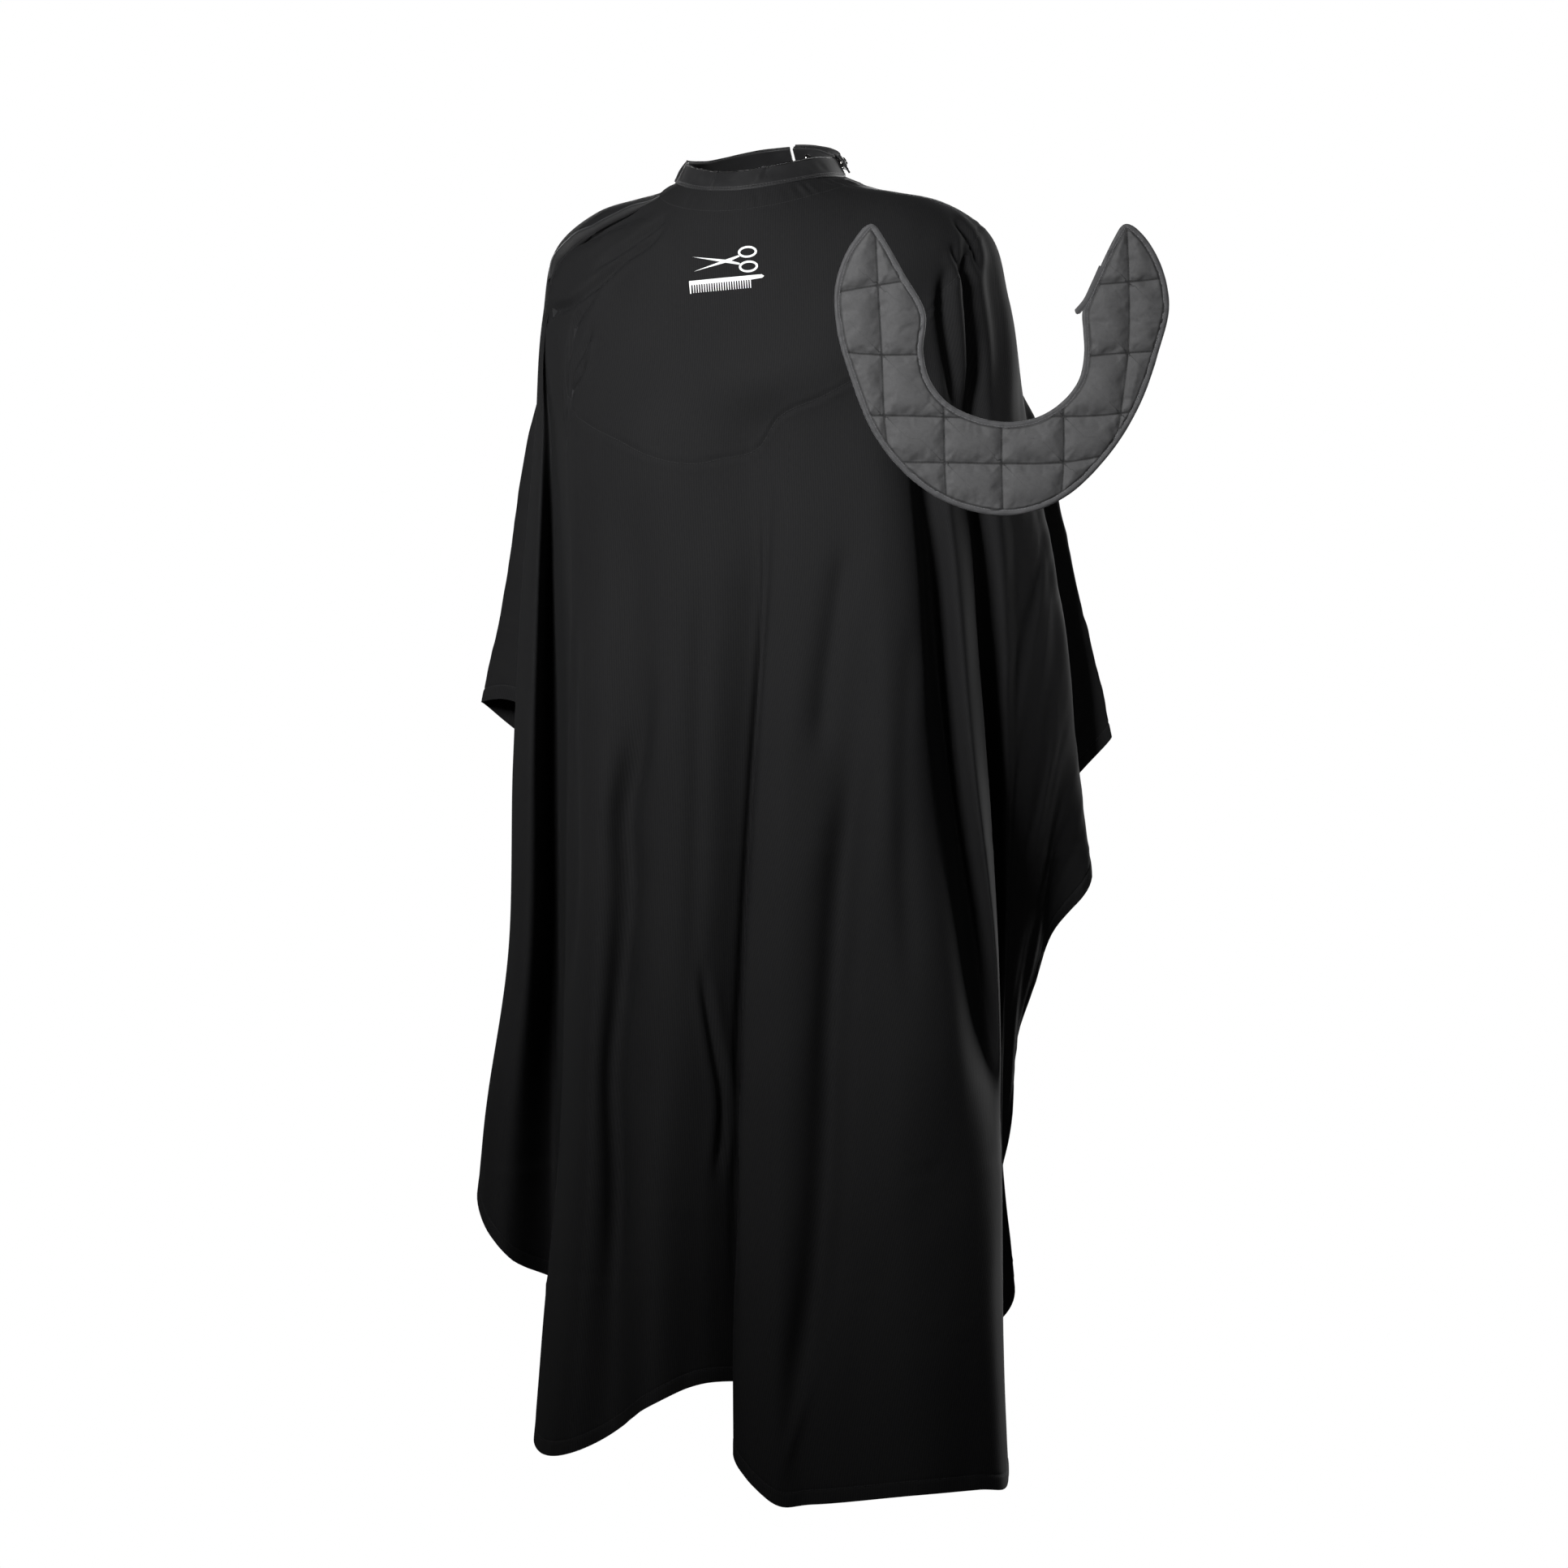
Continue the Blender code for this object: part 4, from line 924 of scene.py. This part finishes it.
def band_shape(angle, up, outside):
    """Unevenness of the band: puckers along the stitching, ripples in the satin, a join and a fold."""
    degrees = math.degrees(angle)
    lift = 0.0007 * float(noise(degrees / 14.0, 0.0, 23)) * min(up, 1.0)
    if not outside:
        return 0.0, lift
    middle = math.sin(math.pi * min(up, 1.0))
    push = 0.00045 * middle * (1.0 + float(noise(degrees / 9.0, 0.0, 21)))
    push += 0.00050 * float(noise(degrees / 5.0 + up * 2.2, up * 2.0, 22)) * middle
    for row in (0.0635, 0.165):
        push -= 0.00030 * bell(up - row, 0.026)
    push += 0.00015 * bell(up - 0.114, 0.030)
    # the join, where two lengths of the satin meet
    push -= 0.0007 * bell(degrees + 10.5, 0.7)
    push += 0.0005 * bell(degrees + 12.5, 1.6)
    # a slanting pinch in the upper half
    slant = degrees - 27.5 - (up - 0.75) * 9.0
    push -= 0.0016 * bell(slant, 1.5) * bell(up - 0.80, 0.30)
    push += 0.0009 * bell(slant + 4.0, 2.2) * bell(up - 0.80, 0.35)
    # softly folded where it turns away to the wearer's right
    push -= 0.0015 * bell(degrees + 62.0 + 6.0 * up, 3.0)
    push += 0.0012 * bell(degrees + 69.0 + 6.0 * up, 4.0)
    return push, lift


def tab_shape(angle, up, outside):
    if not outside:
        return 0.0, 0.0
    push = 0.00030 * math.sin(math.pi * min(up, 1.0))
    push += 0.00025 * float(noise(math.degrees(angle) / 6.0, up * 2.0, 24))
    for row in (0.10, 0.90):
        push -= 0.0003 * bell(up - row, 0.035)
    return push, 0.0


def build_band():
    section = band_section(BAND_HEIGHT, BAND_DEPTH, 0.0012)
    band = band_mesh("neckband", -BAND_STOP, BAND_STOP, 420, section, 0.0, 0.0, band_shape,
                     (.0017, .0045))
    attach(band, "cape")
    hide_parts("neckband_outer", "neckband_lining", "neckband_interlining")
    section = band_section(BAND_HEIGHT - 0.0010, TAB_DEPTH, 0.0008)
    face = TAB_FACE + TAB_DEPTH - OUTER_THICK
    tab = band_mesh("tab", TAB_TIP, TAB_ROOT, 110, section, face, 0.0010, tab_shape, (.0027, .0243))
    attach(tab, "closing_tab")
    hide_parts("tab_outer", "tab_lining")


# ----------------------------------------------------------- the weighted insert
INSERT_OUTER = (
    (-.163, .121), (-.1745, .086), (-.173, .043), (-.159, -.008), (-.134, -.068),
    (-.108, -.102), (-.070, -.132), (-.035, -.146), (0.0, -.151), (.032, -.146), (.062, -.132),
    (.103, -.094), (.137, -.042), (.159, .018), (.170, .069), (.163, .104), (.147, .134),
)
INSERT_INNER = (
    (.107, .122), (.092, .088), (.081, .058), (.082, .040), (.083, .018), (.077, -.012),
    (.060, -.034), (.034, -.050), (0.0, -.055), (-.031, -.049), (-.060, -.034), (-.079, -.008),
    (-.0845, .018), (-.082, .056), (-.105, .100), (-.123, .132),
)
INSERT_TIPS = ((-.138, .156), (.125, .156))
INSERT_MIDDLE = (.253, .205, -.191)
QUILT_SEAMS = (                   # the seams' runs, on the insert's front
    ((-.18, .0785), (-.131, .0870), (-.090, .0935)),
    ((-.19, .0200), (-.130, .0150), (-.078, .0155)),
    ((-.17, -.0480), (-.110, -.0480), (-.040, -.0500)),
    ((.085, .0870), (.130, .0905), (.180, .0960)),
    ((.070, .0120), (.120, .0165), (.175, .0200)),
    ((.040, -.0490), (.100, -.0475), (.160, -.0400)),
    ((-.135, .170), (-.131, .0870), (-.127, .0150), (-.1245, -.0480), (-.118, -.110)),
    ((.125, .170), (.1285, .0905), (.1275, .0165), (.122, -.0300), (.112, -.100)),
    ((-.130, -.0960), (-.060, -.0965), (.000, -.0975), (.062, -.0960), (.120, -.0860)),
    ((-.063, -.030), (-.062, -.0960), (-.0595, -.150)),
    ((-.003, -.040), (-.003, -.0975), (-.0015, -.160)),
    ((.061, -.030), (.061, -.0960), (.057, -.150)),
)
QUILT_PITCH = 0.0020              # spacing of the quilt's mesh
QUILT_EDGE = 0.0022               # from the outline to the quilt's edge, under the binding
QUILT_CAP = 0.0098                # most that a point may rise
PUCKER = 0.0011                   # height of the small folds along its seams
PUFF_SETTINGS = {
    "quality": 6, "mass": 0.12, "tension_stiffness": 12.0, "compression_stiffness": 6.0,
    "shear_stiffness": 4.0, "bending_stiffness": 0.12, "tension_damping": 6.0,
    "compression_damping": 6.0, "shear_damping": 6.0, "bending_damping": 0.4, "air_damping": 3.0,
    "vertex_group_mass": "sewn", "pin_stiffness": 1.0, "shrink_min": -0.014, "use_pressure": True,
    "uniform_pressure_force": 2.6,
}
PUFF_STEPS = 24
BINDING_WIDTH = 0.0058
BINDING_SECTION = (               # (share of the width in from the outline, height)
    (1.00, .0004), (1.00, .0014), (0.90, .0021), (0.78, .0019), (0.70, .0021), (0.40, .0026),
    (0.12, .0022), (-.06, .0012), (-.10, 0.0), (-.06, -.0012), (0.12, -.0022), (0.40, -.0026),
    (0.70, -.0021), (0.78, -.0019), (0.90, -.0021), (1.00, -.0014), (1.00, -.0004),
)
TAPE_END = ((.1010, .1060), (.0925, .0870), (.0835, .0690), (.0745, .0585))


def insert_frame():
    """Frame of the insert: X to its right, Y up, Z out of its front."""
    across, toward, height = INSERT_MIDDLE
    made = Matrix((RIGHT, Vector((0.0, 0.0, 1.0)), AHEAD)).transposed().to_4x4()
    made.translation = RIGHT * across + AHEAD * toward + Vector((0.0, 0.0, height - SEAM_DROP))
    return made


def insert_outline(count):
    """Closed outline, counter-clockwise, with count points along each side."""
    left, right = INSERT_TIPS

    def side(corners):
        corners = np.array(corners)
        run = run_of(corners)
        return smooth_curve(run, corners, np.linspace(0.0, run[-1], count))

    outside = side((left,) + INSERT_OUTER + (right,))
    inside = side((right,) + INSERT_INNER + (left,))
    loop = np.concatenate([outside[:-1], inside[:-1]])
    # The tips are blunt, where the tape is folded round them.
    near = np.min([np.linalg.norm(loop - np.array(tip), axis=1) for tip in INSERT_TIPS], axis=0)
    soft = (1 - step_up(near, 0.006, 0.016))[:, None]
    for _ in range(int(12 * (count / 240) ** 2)):
        loop = loop + soft * ((np.roll(loop, 1, axis=0) + np.roll(loop, -1, axis=0)) / 2 - loop)
    return loop


def quilt_seam_fields(points):
    """Distance from the nearest quilting seam, and the length along it."""
    best = np.full(len(points), 1e9)
    along = np.zeros(len(points))
    for seam in QUILT_SEAMS:
        across, run = line_fields(points, dense_line(seam, 0.004))
        nearer = np.abs(across) < np.abs(best)
        best = np.where(nearer, across, best)
        along = np.where(nearer, run, along)
    return best, along


def quilt_points():
    """The quilt's flat mesh: points snapped onto the seams, and its quads."""
    loop = insert_outline(240)
    closed = np.concatenate([loop, loop[:1]])
    low = loop.min(0) - 2 * QUILT_PITCH
    size = np.ceil((loop.max(0) + 2 * QUILT_PITCH - low) / QUILT_PITCH).astype(int) + 1
    i, j = np.meshgrid(np.arange(size[0]), np.arange(size[1]), indexing="ij")
    points = np.stack([low[0] + i.ravel() * QUILT_PITCH, low[1] + j.ravel() * QUILT_PITCH], -1)
    for seam in QUILT_SEAMS:
        line = dense_line(seam, 0.001)
        level = abs(line[-1, 0] - line[0, 0]) > abs(line[-1, 1] - line[0, 1])
        axis = 0 if level else 1
        order = np.argsort(line[:, axis])
        at = np.interp(points[:, axis], line[order, axis], line[order, 1 - axis], left=9.0, right=9.0)
        off = points[:, 1 - axis] - at
        snap = np.abs(off) <= QUILT_PITCH * 0.5
        points[snap, 1 - axis] = at[snap]
    from_edge, edge_run = line_fields(points, closed)
    inside = from_edge > QUILT_EDGE
    return points, from_edge, edge_run, inside.reshape(size), size


def build_quilt(frame_matrix):
    """Both covers as one closed skin, puffed by air pressure between its sewn-down seams."""
    points, from_edge, edge_run, inside, size = quilt_points()
    off_seam, along = quilt_seam_fields(points)
    kept = []
    for a in range(size[0] - 1):
        for b in range(size[1] - 1):
            if inside[a:a + 2, b:b + 2].all():
                here = a * size[1] + b
                kept.append((here, here + size[1], here + size[1] + 1, here + 1))
    kept = np.array(kept)
    used = np.unique(kept)
    number = np.full(len(points), -1)
    number[used] = np.arange(len(used))
    front = number[kept]
    points = points[used]
    from_edge = from_edge[used]
    edge_run = edge_run[used]
    off_seam = off_seam[used]
    along = along[used]
    total = len(used)

    # Edges met by only one quad make the rim that joins the two covers.
    pairs = np.concatenate([front[:, [0, 1]], front[:, [1, 2]], front[:, [2, 3]], front[:, [3, 0]]])
    keys = np.sort(pairs, axis=1)
    _, first, counts = np.unique(keys, axis=0, return_index=True, return_counts=True)
    rim = pairs[first[counts == 1]]
    sewn = np.abs(off_seam) < QUILT_PITCH * 0.30
    held = sewn | (from_edge < QUILT_EDGE + QUILT_PITCH * 1.4)
    puff = 0.0050 * (1 - np.exp(-np.minimum(np.abs(off_seam), from_edge - QUILT_EDGE) / 0.006))
    height = 0.0005 + np.where(held, 0.0, puff)
    top = np.column_stack([points, height])
    bottom = np.column_stack([points, -height])
    faces = [tuple(f) for f in front]
    faces += [tuple(f[::-1] + total) for f in front]
    faces += [(b, a, a + total, b + total) for a, b in rim]
    stitch = np.concatenate([np.stack([along, off_seam], -1)] * 2)
    # The map "rim": distance in from the binding's inner edge, which places the quilt's painted shade
    # along it.
    rim_map = np.concatenate([np.stack([along, from_edge - BINDING_WIDTH - 0.0004], -1)] * 2)
    quilt = mesh_object("insert_quilt", np.concatenate([top, bottom]), faces, GREY_NYLON,
                        {"stitch": stitch, "rim": rim_map})
    puff_up(quilt, np.concatenate([held, held]))
    pucker(quilt, held, off_seam, along, from_edge, edge_run)
    smooth = quilt.modifiers.new("round", "SUBSURF")
    smooth.levels = 1
    smooth.render_levels = 1
    quilt.matrix_world = frame_matrix
    quilt.visible_shadow = False          # it is shown beside the cape, not lying against it
    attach(quilt, "weighted_insert")
    fills = [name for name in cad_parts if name.startswith("bead_fill")]
    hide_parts("insert_front_cover", "insert_back_cover", *fills)


def pucker(quilt, held, off_seam, along, from_edge, edge_run):
    """Small folds that run away from the seams and from the bound edge, on both covers."""
    off = np.abs(off_seam)
    side = np.sign(off_seam)
    folds = PUCKER * noise(along / 0.0075, side * 2.0 + along / 0.05, 41) * bell(off - 0.0030, 0.0046)
    near = from_edge - BINDING_WIDTH
    folds += PUCKER * noise(edge_run / 0.0080, near / 0.03, 42) * bell(near - 0.0020, 0.0050)
    folds[held] = 0.0
    points = np.array([v.co[:] for v in quilt.data.vertices])
    half = len(points) // 2
    points[:half, 2] += folds
    points[half:, 2] -= folds
    quilt.data.vertices.foreach_set("co", points.ravel())
    quilt.data.update()


def puff_up(quilt, held):
    """Cloth simulation: the covers, cut a little larger than the seams that hold them, fill with
    air, so that they crown between the seams and pucker along them."""
    start = np.array([v.co[:] for v in quilt.data.vertices])
    group = quilt.vertex_groups.new(name="sewn")
    group.add([int(k) for k in np.nonzero(held)[0]], 1.0, "REPLACE")
    cloth = quilt.modifiers.new("puff", "CLOTH")
    for key, value in PUFF_SETTINGS.items():
        setattr(cloth.settings, key, value)
    cloth.settings.effector_weights.gravity = 0.0
    cloth.collision_settings.use_collision = False
    cloth.collision_settings.use_self_collision = False
    scene = bpy.context.scene
    for number in range(1, PUFF_STEPS + 1):
        scene.frame_set(number)
    graph = bpy.context.evaluated_depsgraph_get()
    evaluated = quilt.evaluated_get(graph)
    moved = np.array([v.co[:] for v in evaluated.data.vertices])
    quilt.modifiers.remove(cloth)
    scene.frame_set(1)
    half = len(moved) // 2
    for number, sign in ((slice(0, half), 1.0), (slice(half, None), -1.0)):
        rise = moved[number, 2] * sign
        moved[number, 2] = sign * np.clip(rise, 0.0005, QUILT_CAP)
    drift = moved[:, :2] - start[:, :2]
    far = np.maximum(np.linalg.norm(drift, axis=1, keepdims=True), 1e-9)
    moved[:, :2] = start[:, :2] + drift * np.minimum(1.0, 0.004 / far)
    quilt.data.vertices.foreach_set("co", moved.ravel())
    quilt.data.update()


def build_binding(frame_matrix):
    """Tape folded over the quilt's edge all the way round, stitched down, with small puckers."""
    loop = insert_outline(430)
    ahead = np.roll(loop, -1, axis=0) - np.roll(loop, 1, axis=0)
    ahead /= np.linalg.norm(ahead, axis=1, keepdims=True)
    inward = np.stack([-ahead[:, 1], ahead[:, 0]], -1)
    run = run_of(np.concatenate([loop, loop[:1]]))
    from_tip = np.min([np.linalg.norm(loop - np.array(tip), axis=1) for tip in INSERT_TIPS], axis=0)
    squeeze = 0.42 + 0.58 * step_up(from_tip, 0.0, 0.012)
    points = []
    cloth = []
    lines = []
    for k in range(len(loop)):
        wide = BINDING_WIDTH * squeeze[k] * (1.0 + 0.10 * float(noise(run[k] / 0.013, 0.0, 31)))
        for number, (share, height) in enumerate(BINDING_SECTION):
            side = (0.0 if share >= 0.99 else 1.0) * (1.0 if height > 0 else -1.0)
            folds = 0.00055 * float(noise(run[k] / 0.0046, share * 1.4, 32)) * side
            flat = loop[k] + inward[k] * share * wide
            points.append((flat[0], flat[1], height + folds))
            cloth.append((run[k], number * 0.0011))
            lines.append((run[k], (share - 0.78) * wide))
    quads = [grid_faces(len(loop), len(BINDING_SECTION), wrap=True)]

    # The loose end of the tape, past the corner on the right arm's inner edge.
    flap = dense_line(TAPE_END, 0.0016)
    quads.append(grid_faces(len(flap), 5, len(points)))
    for k, here in enumerate(flap):
        there = flap[min(k + 1, len(flap) - 1)] - flap[max(k - 1, 0)]
        there /= np.linalg.norm(there)
        aside = np.array([-there[1], there[0]])
        share = k / (len(flap) - 1)
        for off in (-1.0, -0.5, 0.0, 0.5, 1.0):
            fray = 0.0016 * float(noise(off * 3.0, 2.0, 33)) if k == len(flap) - 1 else 0.0
            flat = here + aside * off * 0.0034 + there * fray
            lift = 0.0026 + 0.0009 * share * math.cos(off * 1.6) + 0.0022 * share ** 2
            points.append((flat[0], flat[1], lift))
            cloth.append((share * 0.05, 0.03 + off * 0.0027))
            lines.append((share * 0.05, off * 0.0027 - 0.0018))
    binding = mesh_object("insert_edge_tape", points, np.concatenate(quads), GREY_BINDING,
                          {"cloth": cloth, "stitch": lines})
    binding.matrix_world = frame_matrix
    binding.visible_shadow = False
    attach(binding, "weighted_insert")
    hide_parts("insert_binding")


# ------------------------------------------------------------------- the print
PRINT_MIDDLE = (-0.036, -0.088)   # across, and height below the seam
PRINT_TILT = math.radians(4.0)
PRINT_LIFT = 0.0004


def comb_shape():
    """A barber's comb, about 77 mm long, as convex pieces."""
    count = 24
    left = -0.036
    pitch = 0.0026
    pieces = [[(left - .0026, .0010), (left - .0026, -.0034), (.0270, -.0034), (.0270, .0012)]]
    pieces.append([(.0270, .0012), (.0270, -.0034), (.0378, -.0026), (.0402, -.0008), (.0378, .0012)])
    pieces.append([(left - .0026, -.0034), (left - .0022, -.0126), (left - .0010, -.0126),
                   (left - .0006, -.0034)])
    for k in range(count):
        a = left + (k + 0.35) * pitch
        pieces.append([(a, -.0034), (a + pitch * 0.12, -.0122), (a + pitch * 0.38, -.0122),
                       (a + pitch * 0.50, -.0034)])
    return pieces


def scissors_shape():
    """Open scissors as convex pieces: two blades crossing at a screw, with a ring on each handle."""
    pieces = []
    for side in (1, -1):
        blade = ((-.036, .0078), (-.002, -.0016), (.0010, .0010), (-.012, .0034))
        shank = ((-.002, -.0016), (.0120, -.0050), (.0130, -.0034), (.0010, .0010))
        pieces.append([(x, side * y) for x, y in blade])
        pieces.append([(x, side * y) for x, y in shank])
        middle = (.0215, side * -.0078)
        steps = 28
        ring = []
        for k in range(steps + 1):
            a = 2 * math.pi * k / steps
            ring.append(((middle[0] + .0100 * math.cos(a), middle[1] + .0062 * math.sin(a)),
                         (middle[0] + .0076 * math.cos(a), middle[1] + .0040 * math.sin(a))))
        for (a, b), (c, d) in zip(ring[:-1], ring[1:]):
            pieces.append([a, c, d, b])
    return pieces


def build_print(grid):
    """A comb and open scissors in white, laid on the chest."""
    patch = grid[int(0.38 * COLUMNS):int(0.54 * COLUMNS), 10:70]
    tree = BVHTree.FromPolygons([Vector(p) for p in patch.reshape(-1, 3)],
                                [tuple(int(v) for v in f) for f in grid_faces(*patch.shape[:2])])
    bm = bmesh.new()
    for loops, (dx, dy) in ((comb_shape(), (0.0, -.0040)), (scissors_shape(), (0.003, .0145))):
        for loop in loops:
            bm.faces.new([bm.verts.new((x + dx, y + dy, 0.0)) for x, y in loop])
    bmesh.ops.triangulate(bm, faces=bm.faces)
    for _ in range(3):
        long_edges = [e for e in bm.edges if e.calc_length() > 0.003]
        bmesh.ops.subdivide_edges(bm, edges=long_edges, cuts=1)
        bmesh.ops.triangulate(bm, faces=[f for f in bm.faces if len(f.verts) > 3])
    c = math.cos(PRINT_TILT)
    s = math.sin(PRINT_TILT)
    places = []
    for v in bm.verts:
        x = PRINT_MIDDLE[0] + v.co.x * c - v.co.y * s
        z = PRINT_MIDDLE[1] + v.co.x * s + v.co.y * c - SEAM_DROP
        origin = RIGHT * x + AHEAD * 0.6 + Vector((0.0, 0.0, z))
        hit, normal, _, _ = tree.ray_cast(origin, -AHEAD)
        if normal.dot(AHEAD) < 0:
            normal = -normal
        places.append((x, z))
        v.co = hit + normal * PRINT_LIFT
    mesh = bpy.data.meshes.new("chest_print")
    bm.to_mesh(mesh)
    bm.free()
    layer = mesh.uv_layers.new(name="cloth")
    for loop in mesh.loops:
        layer.data[loop.index].uv = places[loop.vertex_index]
    mesh.materials.append(WHITE_INK)
    mesh.shade_smooth()
    ink = add_object("chest_print", mesh)
    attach(ink, "cape")


# ---------------------------------------------------------- camera, floor, lights
def aim(thing, place, target):
    thing.location = place
    direction = Vector(target) - Vector(place)
    thing.rotation_euler = direction.to_track_quat("-Z", "Y").to_euler()


# Area lights: azimuth in degrees, distance and height; target; size; watts; and spread in degrees.
LIGHTS = {
    "key": ((-3.0, 3.0, 0.72), (0.0, 0.0, -0.20), (0.9, 0.8), 10.4, 45.0),
    "front_fill": ((48.0, 3.6, 0.2), (0.05, 0.0, -0.45), (1.6, 1.6), 1.8, 60.0),
    "side_fill": ((156.0, 3.8, 0.1), (0.0, 0.0, -0.6), (1.8, 1.8), 58.0, 120.0),
    "back_fill": ((204.0, 3.8, 0.1), (0.0, 0.0, -0.6), (2.0, 2.0), 110.0, 120.0),
    "left_fill": ((258.0, 3.8, 0.0), (0.0, 0.0, -0.6), (2.0, 2.0), 10.0, 180.0),
}
LENS = 217.39                     # mm, for the photo's field of view from CAMERA_DISTANCE
CAMERA_DISTANCE = 10.0
CAMERA_ACROSS = 0.025
CAMERA_HEIGHT = -0.65
FLOOR_HEIGHT = -1.80
FLOOR_RADIUS = 2.1
FLOOR_FADE = (1.1, 2.05)          # distances from its middle between which it fades out
AMBIENT = 0.010                   # the white surroundings' strength as a light


def add_light(name, place, target, size, watts, spread):
    data = bpy.data.lights.new(name, "AREA")
    data.shape = "RECTANGLE"
    data.size, data.size_y = size
    data.energy = watts
    data.spread = math.radians(spread)
    azimuth, distance, height = place
    a = math.radians(azimuth)
    aim(add_object(name, data), (math.sin(a) * distance, -math.cos(a) * distance, height), target)


def build_camera():
    camera_data = bpy.data.cameras.new("camera")
    camera_data.lens = LENS
    camera_data.sensor_width = 36.0
    camera_data.clip_end = 100.0
    camera = add_object("camera", camera_data)
    target = Vector((CAMERA_ACROSS * math.cos(TURN), CAMERA_ACROSS * math.sin(TURN), CAMERA_HEIGHT))
    aim(camera, target + AHEAD * CAMERA_DISTANCE, target)
    bpy.context.scene.camera = camera


def build_world():
    """White behind everything, as the camera sees it, but dim as a light."""
    world = bpy.data.worlds.new("studio")
    bpy.context.scene.world = world
    world.use_nodes = True
    tree = world.node_tree
    seen = tree.nodes["Background"]
    ambient = tree.nodes.new("ShaderNodeBackground")
    for node, strength in ((seen, 1.0), (ambient, AMBIENT)):
        node.inputs["Color"].default_value = (1.0, 1.0, 1.0, 1.0)
        node.inputs["Strength"].default_value = strength
    path = tree.nodes.new("ShaderNodeLightPath")
    mix = tree.nodes.new("ShaderNodeMixShader")
    tree.links.new(path.outputs["Is Camera Ray"], mix.inputs[0])
    tree.links.new(ambient.outputs[0], mix.inputs[1])
    tree.links.new(seen.outputs[0], mix.inputs[2])
    tree.links.new(mix.outputs[0], tree.nodes["World Output"].inputs["Surface"])


def build_floor():
    """A pale disc that fades out towards its edge."""
    bm = bmesh.new()
    bmesh.ops.create_circle(bm, cap_ends=True, radius=FLOOR_RADIUS, segments=96)
    mesh = bpy.data.meshes.new("floor")
    bm.to_mesh(mesh)
    bm.free()
    floor = add_object("floor", mesh)
    floor.location = (0.0, 0.0, FLOOR_HEIGHT)
    floor.visible_diffuse = False
    floor.visible_glossy = False
    m = Nodes("floor")
    coordinates = m.add("ShaderNodeTexCoord")
    length = m.add("ShaderNodeVectorMath", operation="LENGTH")
    m.link(coordinates.outputs["Object"], length.inputs[0])
    fade = m.range(length.outputs["Value"], *FLOOR_FADE, 1.0, 0.0)
    m.link(fade, m.shader.inputs["Alpha"])
    for name, value in (("Base Color", (0.60, 0.60, 0.60, 1.0)), ("Roughness", 0.8),
                        ("Emission Color", (1.0, 1.0, 1.0, 1.0)), ("Emission Strength", 0.62)):
        m.shader.inputs[name].default_value = value
    mesh.materials.append(m.material)


def dress_cad_nodes():
    """Materials of the CAD nodes that stay: fillings, interlining and snaps."""
    for name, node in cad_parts.items():
        if name.startswith("bead_fill"):
            finish = BEADS
        elif name == "neckband_interlining":
            finish = STIFFENER
        elif name.startswith("stud") or name.startswith("tab_snap"):
            finish = NICKEL
        else:
            continue
        node.data.materials.clear()
        node.data.materials.append(finish)


bpy.context.scene.view_settings.view_transform = "Standard"
build_camera()
for light_name, light_setting in LIGHTS.items():
    add_light(light_name, *light_setting)
build_world()
build_floor()
dress_cad_nodes()
sheet_grid, sheet_outward, sheet_below, sheet_aside = build_cape()
build_lining(sheet_grid, sheet_outward, sheet_below, sheet_aside)
build_band()
at = insert_frame()
build_quilt(at)
build_binding(at)
build_print(sheet_grid)
